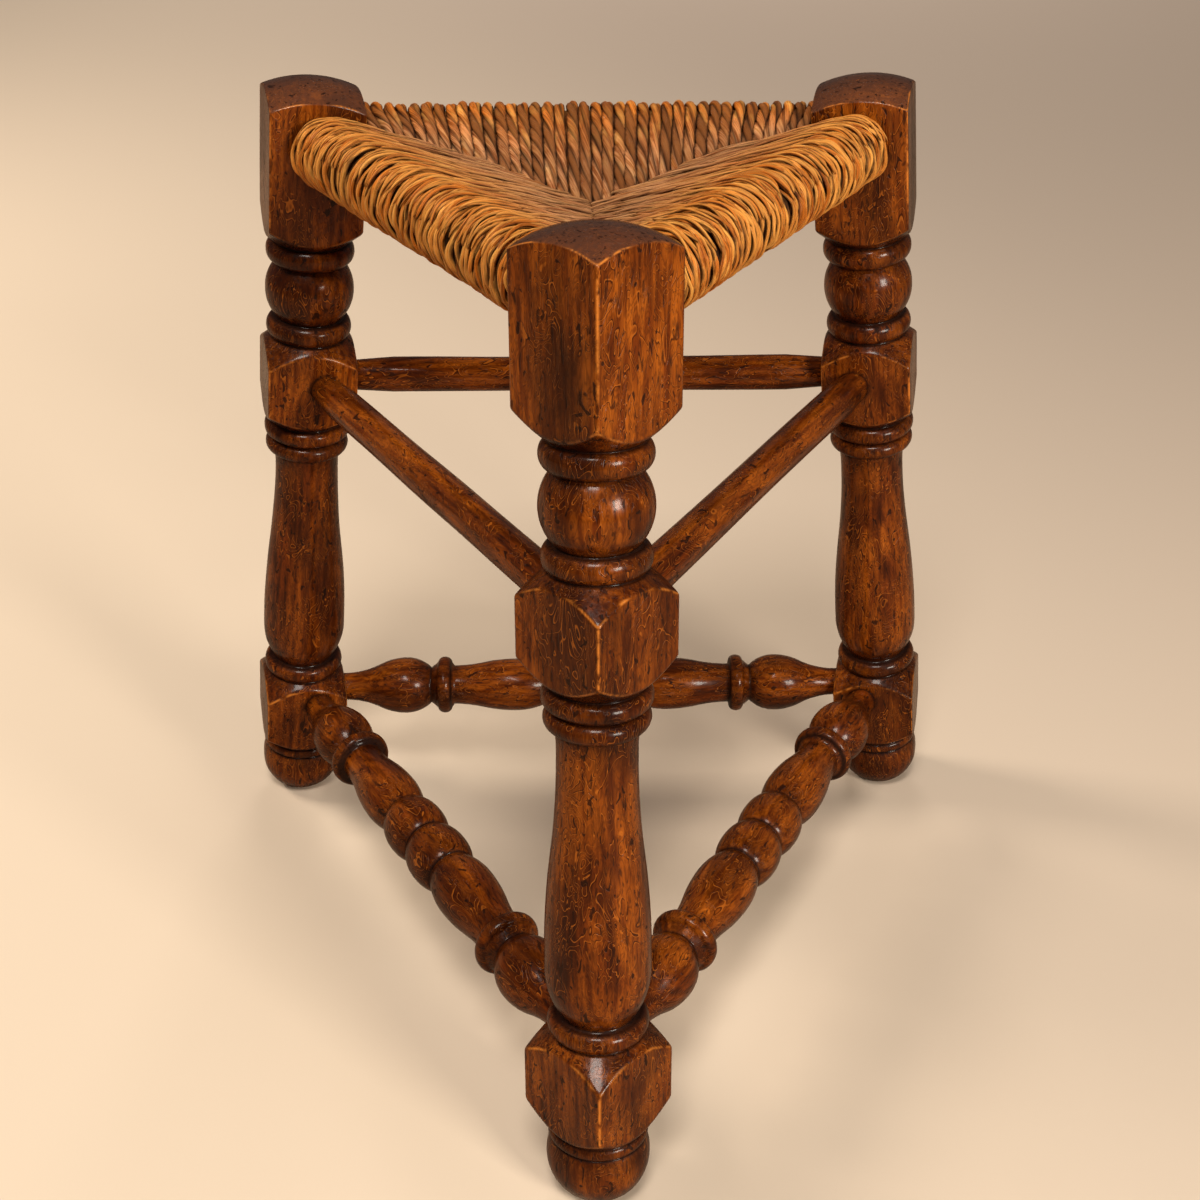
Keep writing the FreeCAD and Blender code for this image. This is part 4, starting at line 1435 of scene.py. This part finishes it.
@dataclass(frozen=True)
class RushSeat:
    """The three sectors of the seat: round cords behind, flatter loose strands on the left and right."""

    stance: Stance
    section: RushSection
    height: float = Stretchers.RAIL_HEIGHT
    face: float = 0.02485
    face_angle: float = math.radians(15)
    half_diagonal: float = 0.0339
    fan_reach: Range = (-0.0225, 0.016)
    dust_rate: float = 1.6

    # Rear cords
    rear_seed: int = 7
    cords: int = 38
    plies: int = 3
    cord_radius: float = 0.00330
    cord_tuck: float = 0.006
    cord_drop: float = 0.005
    cord_shift: float = 0.00030
    cord_lift: float = 0.00035
    cord_lay: float = 0.052
    cord_lay_shares: Range = (0.75, 1.25)
    cord_size_shares: Range = (0.94, 1.08)
    cord_bend: Terms = ((41, 0.7),)
    fan_focus: float = 0.55
    ply_offset: float = 0.00158
    ply_radius: float = 0.00172
    ply_depth_share: float = 1.16
    ply_swell: Terms = ((110, 0.10),)
    # Tones of the plies, kept low as painted shade over the rear sector.
    ply_tones_and_shade: Range = (-1.3, 0.10)
    ply_groove: float = 0.80
    ply_columns: int = 8

    # Left and right strands
    side_seed: int = 11
    bundles: int = 44
    strands: int = 5
    end_clearance: float = 0.0042
    seam_gap: float = 0.0005
    seam_power: float = 1.6
    side_tuck: float = 0.005
    side_drop: float = 0.008
    ease_share: float = 0.15
    rear_lift: float = 0.0030
    rear_lift_share: float = 0.16
    bundle_shift_share: float = 0.08
    bundle_step_share: float = 0.1
    bundle_lay: float = 0.120
    bundle_lay_shares: Range = (0.7, 1.4)
    bundle_depth: float = 0.0026
    bundle_widths: Range = (0.0024, 0.0085)
    bundle_thickness: float = 0.0016
    bundle_thinning: float = 0.0008
    flat_rate: float = 4
    bundle_slit: float = 0.85
    bundle_slit_loss: float = 0.65
    sway_size: float = 0.0008
    sway: Terms = ((9, 1.0), (24, 0.7), (61, 0.35))
    phase_share: float = 0.16
    wander: Terms = ((62, 0.6), (150, 0.45))
    breadth_share: float = 0.60
    breadth: Terms = ((61, 0.08),)
    kink: float = 0.00034
    kink_rates: Range = (520, 390)
    kink_phases: Range = (7, 5)
    strand_width_shares: Range = (0.28, 0.46)
    strand_widths: Range = (0.0006, 0.0017)
    strand_depth_share: float = 0.85
    strand_depths: Range = (0.0008, 0.0014)
    strand_tones: Range = (-0.35, 1.6)
    strand_columns: int = 6

    # Loose strands
    loose_seed: int = 23
    loose: int = 300
    loose_rows: int = 30
    loose_shares: Range = (0.01, 0.99)
    loose_waves: Terms = ((13, 1.0), (31, 0.6))
    loose_insets: Range = (-0.0006, 0.0011)
    loose_wave_inset: float = 0.0003
    loose_wave_shift: float = 0.0016
    loose_start_row: float = -8
    loose_start_share: float = 0.46
    loose_row_counts: Range = (10, 34)
    loose_least_end_row: float = 8
    loose_end_share: float = 0.66
    loose_tip: float = 1.02
    loose_widths: Range = (0.00055, 0.00120)
    loose_depth_shares: Range = (0.5, 0.8)
    loose_tones: Range = (-0.4, 1.3)
    loose_shade_share: float = 0.6

    # Packing
    packing_rows: int = 90
    packing_clearance: float = 0.001
    packing_depth: float = 0.0046
    packing_fan_reach: Range = (-0.018, 0.012)
    packing_streaks: float = 60
    # How dark the packing is painted, as shade.
    packing_cavity: float = 0.8

    @property
    def roll_half(self) -> float:
        """Half the length of the roll between two posts."""
        return self.stance.half_span(self.height) - self.face

    def fan_out(self, start: Array, inward: Array, reach: Range) -> Array:
        """Slants what lies near a post so that it follows the post's face.

        The slant is the inward place times the tangent of the face's angle, times the fourth power of the
        share of the way from the middle of the rail to the post.

        Args:
            start: Place along the rail, one value a strand.
            inward: Inward places, strands by rows.
            reach: Inward places from and to which it slants.

        Returns:
            Places along the rail, strands by rows.
        """
        near = np.sign(start) * np.abs(start / self.roll_half) ** 4
        leaned = np.clip(inward, *reach) * math.tan(self.face_angle)
        return start[:, None] - near[:, None] * leaned

    def rear_cords(self, material: bpy.types.Material) -> None:
        """Makes the rear sector: cords of three plies, each ply a tube that winds round its cord's path.

        A ply's centre is its cord's path plus its distance from it times the cosine and sine of the twist.

        Args:
            material: Their finish.
        """
        random = np.random.default_rng(self.rear_seed)
        count = self.cords
        edge = self.roll_half - self.cord_radius
        start = np.linspace(-edge, edge, count)
        slant = math.tan(THIRD_TURN_HALF)
        reach = (self.stance.half_span(self.height) - np.abs(start)) * slant
        reach = reach / (1 - np.abs(start) * slant / self.fan_focus)
        inward, up, normal, share = self.section.path(reach, self.cord_radius, self.cord_tuck, self.cord_drop)
        along = self.fan_out(start + random.normal(0, self.cord_shift, count), inward, self.fan_reach)
        along = along * (1 - np.clip(inward, 0, None) / self.fan_focus)
        up = up + random.normal(0, self.cord_lift, count)[:, None]
        paths = Paths.laid(self.stance, Side.REAR, self.height, along, inward, up, normal, share)
        rate = math.tau / self.cord_lay * random.uniform(*self.cord_lay_shares, count)
        bend = ripple(paths.length, random.uniform(0, math.tau, (count, 1)), self.cord_bend)
        twist = random.uniform(0, math.tau, count)[:, None] - paths.length * rate[:, None] - bend
        scale = random.uniform(*self.cord_size_shares, count)[:, None]
        shading = Shading(self.cord_radius, self.cord_radius, 1.0, self.ply_groove)
        parts = []
        for ply in range(self.plies):
            turn = (twist + math.tau * ply / self.plies)[..., None]
            radial = np.cos(turn) * paths.across + np.sin(turn) * paths.outward
            sideways = np.cos(turn) * paths.outward - np.sin(turn) * paths.across
            swell = 1 + ripple(paths.length, random.uniform(0, math.tau, (count, 1)), self.ply_swell)
            middle = paths.centre + radial * (self.ply_offset * scale)[..., None]
            radius = self.ply_radius * scale * swell
            ribbon = Ribbon(middle, radial, sideways, radius, radius * self.ply_depth_share)
            # Low tones: painted shade that browns the whole rear sector.
            tone = random.uniform(*self.ply_tones_and_shade, count)
            parts.append(self.tube(paths, ribbon, shading, self.ply_columns, tone, ply * count))
        make_piece("rear_rush_cords", joined_tubes(parts), material, [Side.REAR.node("rush_courses")])

    def tube(
        self, paths: Paths, ribbon: Ribbon, shading: Shading, columns: int, tone: Array, number: int
    ) -> Tubes:
        """Carries an ellipse along a strand beside each path.

        A point is the middle plus the cosine of its angle times the first radius along the first axis plus
        the sine of it times the second radius along the second one.

        Args:
            paths: The paths of the cords that the strands belong to.
            ribbon: The strands' ellipses.
            shading: Their painted shade.
            columns: Points round the ellipse.
            tone: Lightness of each strand: above 0 it is paler than the rest, and below 0 browner, which on
                the rear cords is painted shade.
            number: Added to the strands' numbers.

        Returns:
            The tubes with their fields.
        """
        angle = np.linspace(0, math.tau, columns, endpoint=False)
        gradient = np.gradient(ribbon.middle, axis=1)
        handed = np.sign((np.cross(ribbon.first, ribbon.second) * gradient).sum(axis=-1))
        wide = (ribbon.first * ribbon.first_radius[..., None])[:, :, None]
        deep = (ribbon.second * (ribbon.second_radius * handed)[..., None])[:, :, None]
        points = ribbon.middle[:, :, None] + np.cos(angle)[:, None] * wide + np.sin(angle)[:, None] * deep
        cavity = shading.cavity(points - paths.centre[:, :, None], paths)
        zeros = np.zeros_like(cavity)
        strand = np.stack((
            paths.length[..., None] + zeros,
            np.abs(angle / math.pi - 1) + zeros,
            (np.arange(len(tone)) + number)[:, None, None] + zeros,
        ), axis=-1)
        return Tubes(points, {
            "strand": strand,
            "tone": tone[:, None, None] + zeros,
            "dust": np.clip(paths.share * self.dust_rate, 0, 1)[..., None] + zeros,
            "cavity": cavity,
        })

    def side_paths(
        self, side: Side, shares: Array, inset: Array | float, spread: Array | float = 0.0
    ) -> Paths:
        """Paths of the left or right sector's strands.

        Each leaves the roll at its share of the rail from the rear post. It runs in to a seam, at half of
        twice the share less 1 plus half of the share to the power 1.6 of the seam's length: on the rear
        seam below zero and on the front one above it. Near the rear post they lie a little higher.

        Args:
            side: The side.
            shares: Share of the rail, one value a strand.
            inset: Depth of the path below the surface, one value or strands by rows.
            spread: Shift along the rail, strands by rows.

        Returns:
            The paths.
        """
        edge = self.roll_half - self.end_clearance
        start = -edge + 2 * edge * shares
        whole_seam = self.stance.circle(self.height) - self.half_diagonal - self.seam_gap
        seam = whole_seam * (shares - 0.5 + 0.5 * shares ** self.seam_power)
        reach = self.section.apothem - np.abs(seam) * math.sin(THIRD_TURN_HALF)
        seam_along = seam * math.cos(THIRD_TURN_HALF)
        section = self.section.path(reach, self.bundle_depth, self.side_tuck, self.side_drop)
        inward, up, normal, share = section
        ease = share ** 2 / (share + self.ease_share) * (1 + self.ease_share)
        along = self.fan_out(start, inward, self.fan_reach)
        along = along + (seam_along[:, None] - along) * ease + spread
        near_post = self.rear_lift * np.exp(-(shares / self.rear_lift_share) ** 2)[:, None]
        lift = near_post * (normal < math.pi)[None] * share ** 0.5
        out = self.bundle_depth - inset
        inward = inward + out * np.cos(normal)
        up = up + lift + out * np.sin(normal)
        mirror = 1 if side is Side.LEFT else -1
        return Paths.laid(self.stance, side, self.height, along * mirror, inward, up, normal, share)

    def side_strands(self, side: Side, material: bpy.types.Material) -> None:
        """Makes the left or right sector: bundles of strands that flatten out over the seat.

        A strand's centre is its bundle's path plus the bundle's half width times the cosine of its twist
        across, and the bundle's half thickness times the sine of it out of the surface. The bundle's path
        sways along the rail, and each strand has small kinks across and out of the surface.

        Args:
            side: The side.
            material: Their finish.
        """
        random = np.random.default_rng(self.side_seed + abs(side.value))
        count = self.bundles
        shares = (np.arange(count) + 0.5) / count
        shares = shares + random.normal(0, self.bundle_shift_share, count) / count
        small = self.bundle_step_share / count
        before, after = [
            self.side_paths(side, np.clip(shares + sign * small, 0, 1), self.bundle_depth).centre
            for sign in (-1, 1)
        ]
        place = np.linspace(0, 1, self.section.rows)[None]
        spread = ripple(place, random.uniform(0, math.tau, (count, 3)), self.sway)
        paths = self.side_paths(side, shares, self.bundle_depth, self.sway_size * spread)
        apart = np.abs(((after - before) * paths.across).sum(axis=-1)) / (2 * small * count)
        half = 0.5 * np.clip(apart, *self.bundle_widths)
        flat = np.clip(paths.share * self.flat_rate, 0, 1)
        thick = self.bundle_thickness - self.bundle_thinning * flat
        # Painted shade along the bundles' sides, weaker where they flatten out.
        slit = (self.bundle_slit - self.bundle_slit_loss * flat)[..., None]
        kink_rate, bulge_rate = self.kink_rates
        kink_phase, bulge_phase = self.kink_phases
        parts = []
        for strand in range(self.strands):
            own = random.uniform(0, math.tau, (count, 4))
            phase = math.tau * strand / self.strands + self.phase_share * own[:, :1]
            wander = ripple(paths.length, own[:, 1:], self.wander)
            rate = math.tau / self.bundle_lay * random.uniform(*self.bundle_lay_shares, count)[:, None]
            twist = (phase - rate * paths.length + wander)[..., None]
            shift = half * (self.breadth_share + ripple(paths.length, own[:, 3:], self.breadth))
            middle = paths.centre + paths.across * np.cos(twist) * shift[..., None]
            middle = middle + paths.outward * np.sin(twist) * thick[..., None]
            kink = ripple(paths.length, kink_phase * own[:, :1], ((kink_rate, self.kink),))
            bulge = ripple(paths.length, bulge_phase * own[:, 1:2], ((bulge_rate, self.kink),))
            middle = middle + paths.across * kink[..., None] + paths.outward * bulge[..., None]
            width = half * random.uniform(*self.strand_width_shares, count)[:, None]
            width = np.clip(width, *self.strand_widths)
            depth = np.clip(width * self.strand_depth_share, *self.strand_depths)
            ribbon = Ribbon(middle, paths.across, paths.outward, width, depth)
            shading = Shading((thick + depth)[..., None], half[..., None], slit, 0.0)
            tone = random.uniform(*self.strand_tones, count)
            parts.append(self.tube(paths, ribbon, shading, self.strand_columns, tone, strand * count))
        name = side.name.lower() + "_rush_strands"
        make_piece(name, joined_tubes(parts), material, [side.node("rush_courses")])

    def loose_strands(self, side: Side, material: bpy.types.Material) -> None:
        """Makes the loose strands that lie on the bundles, each over a stretch of its own.

        They follow the bundles' paths, wander along the rail by a sum of two sines, and taper at both ends
        by the root of 1.02 less the distance from the middle to the sixth power.

        Args:
            side: The side.
            material: Their finish.
        """
        random = np.random.default_rng(self.loose_seed + abs(side.value))
        count = self.loose
        rows = self.section.rows
        shares = random.uniform(*self.loose_shares, count)
        place = np.linspace(0, 1, rows)[None]
        waves = ripple(place, random.uniform(0, math.tau, (count, 2)), self.loose_waves)
        inset = random.uniform(*self.loose_insets, count)[:, None] + self.loose_wave_inset * waves
        paths = self.side_paths(side, shares, inset, self.loose_wave_shift * waves)
        start = random.uniform(self.loose_start_row, rows * self.loose_start_share, count)
        end = start + random.uniform(*self.loose_row_counts, count)
        end = np.clip(end, self.loose_least_end_row, rows * self.loose_end_share)
        paths = paths.stretch(np.clip(start, 0, None), end, self.loose_rows)
        taper = np.sqrt(self.loose_tip - np.abs(np.linspace(-1, 1, self.loose_rows)) ** 6)[None]
        width = random.uniform(*self.loose_widths, count)[:, None] * taper
        depth = width * random.uniform(*self.loose_depth_shares, count)[:, None]
        ribbon = Ribbon(paths.centre, paths.across, paths.outward, width, depth)
        shading = Shading(depth.max(), width.max(), 0.0, 0.0)
        tone = random.uniform(*self.loose_tones, count)
        tubes = self.tube(paths, ribbon, shading, self.strand_columns, tone, self.strands * count)
        # Weaker painted shade under the loose strands.
        tubes.fields["cavity"] = tubes.fields["cavity"] * self.loose_shade_share
        name = side.name.lower() + "_loose_strands"
        make_piece(name, tubes, material, [side.node("rush_courses")])

    def stuffing(self, side: Side, material: bpy.types.Material) -> None:
        """Makes one sector's packing: the section well below the strands, carried along the rail and darkened
        as painted shade.

        Args:
            side: The side.
            material: Its finish.
        """
        edge = self.roll_half - self.packing_clearance
        rail = np.linspace(-edge, edge, self.packing_rows)
        seam = (self.stance.half_span(self.height) - np.abs(rail)) * math.tan(THIRD_TURN_HALF)
        inward, up = self.section.path(seam - self.packing_clearance, self.packing_depth, 0.0, 0.0)[:2]
        along = self.fan_out(rail, inward, self.packing_fan_reach)
        points = self.stance.lay(side, self.height, along, inward, up)[:, ::-1]
        zeros = np.zeros(points.shape[:-1])
        streaks = np.broadcast_to(inward[:, ::-1] * self.packing_streaks, zeros.shape)
        strand = np.stack((zeros + rail[:, None], streaks, zeros), axis=-1)
        # Painted shade: the whole packing darkens towards the hollow colour.
        cavity = zeros + self.packing_cavity
        tubes = Tubes(points[None], {
            "strand": strand[None], "tone": zeros[None], "dust": zeros[None], "cavity": cavity[None],
        })
        name = side.name.lower() + "_rush_packing"
        make_piece(name, tubes, material, [side.node("rush_stuffing")])

    def build(self, material: bpy.types.Material) -> None:
        """Makes the whole seat.

        Args:
            material: Its finish.
        """
        self.rear_cords(material)
        for side in (Side.LEFT, Side.RIGHT):
            self.side_strands(side, material)
            self.loose_strands(side, material)
        for side in Side:
            self.stuffing(side, material)


# Surroundings


@dataclass(frozen=True)
class Studio:
    """The floor, the lights and the camera at the photograph's angle."""

    camera_place: Place = (-0.0083, -0.6952, 0.6279)
    camera_pitch: float = math.radians(27.68)
    camera_yaw: float = math.radians(-0.957)
    lens: float = 48.90
    shift: float = -0.0623
    floor_half: float = 12.0
    sensor_width: float = 36
    seat_middle: Place = (0.0, 0.0, 0.25)
    world_colour: Colour = (1.0, 0.90, 0.80)
    world_strength: float = 0.11

    def floor(self) -> None:
        """Lays a plain pale floor."""
        half = self.floor_half
        mesh = bpy.data.meshes.new("floor")
        corners = [(-half, -half, 0), (half, -half, 0), (half, half, 0), (-half, half, 0)]
        mesh.from_pydata(corners, [], [(0, 1, 2, 3)])
        mesh.materials.append(PaleFloor("Pale floor").build())
        piece = bpy.data.objects.new("floor", mesh)
        bpy.context.scene.collection.objects.link(piece)

    def light(
        self, name: str, place: Place, aim: Place, size: float, power: float, colour: Colour,
        mirrored: bool = True,
    ) -> None:
        """Adds a soft square light.

        Args:
            name: Its name.
            place: Where it hangs.
            aim: What it points at.
            size: Its width.
            power: Its power in watts.
            colour: Its colour.
            mirrored: Whether it shows in polished surfaces.
        """
        lamp = bpy.data.lights.new(name, "AREA")
        lamp.size = size
        lamp.energy = power
        lamp.color = colour
        holder = bpy.data.objects.new(name, lamp)
        holder.location = place
        holder.visible_glossy = mirrored
        away = np.array(place) - np.array(aim)
        flat = math.hypot(away[0], away[1])
        holder.rotation_euler = (math.atan2(flat, away[2]), 0, math.atan2(away[0], -away[1]))
        bpy.context.scene.collection.objects.link(holder)

    def build(self) -> None:
        """Sets the floor, the lights, the world and the camera."""
        self.floor()
        seat = self.seat_middle
        self.light("window", (-1.8, 0.8, 1.5), (-0.4, 0.8, 0.0), 0.7, 34, (1.0, 0.90, 0.78), False)
        self.light("front", (1.35, -1.60, 1.05), (0.0, 0.0, 0.12), 0.6, 39, (1.0, 0.92, 0.80))
        self.light("above", (-0.15, -1.0, 2.1), seat, 0.6, 27, (1.0, 0.94, 0.86))
        self.light("back", (0.2, 4.4, 2.6), (0.2, 3.4, 0.0), 1.6, 62, (1.0, 0.93, 0.88), False)
        world = bpy.data.worlds.new("studio")
        world.use_nodes = True
        background = world.node_tree.nodes["Background"]
        background.inputs["Color"].default_value = (*self.world_colour, 1)
        background.inputs["Strength"].default_value = self.world_strength
        bpy.context.scene.world = world
        bpy.context.scene.view_settings.view_transform = "Standard"
        camera = bpy.data.cameras.new("camera")
        camera.lens = self.lens
        camera.sensor_width = self.sensor_width
        camera.shift_y = self.shift
        holder = bpy.data.objects.new("camera", camera)
        holder.location = self.camera_place
        holder.rotation_euler = (math.pi / 2 - self.camera_pitch, 0, self.camera_yaw)
        bpy.context.scene.collection.objects.link(holder)
        bpy.context.scene.camera = holder


def main() -> None:
    """Builds the stool and its surroundings in order."""
    logging.basicConfig(level=logging.INFO, format="%(name)s: %(message)s")
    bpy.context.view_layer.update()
    stance = Stance.of_record(frame["record"])
    groups = {"grain": grain_group(), "handling": handling_group(), "fibres": fibre_group()}
    wood = OldWood("Old waxed wood").build(groups)
    rush = DryRush("Dry rush").build(groups)
    for post in Post:
        TurnedLeg(stance, post).build(wood)
    Stretchers(stance).build(wood)
    RushSeat(stance, RushSection(stance.apothem(Stretchers.RAIL_HEIGHT))).build(rush)
    for side in Side:
        rail = frame["nodes"][side.node("seat_rail")]
        rail.data.materials.clear()
        rail.data.materials.append(wood)
    Studio().build()


if __name__ == "__main__":
    main()
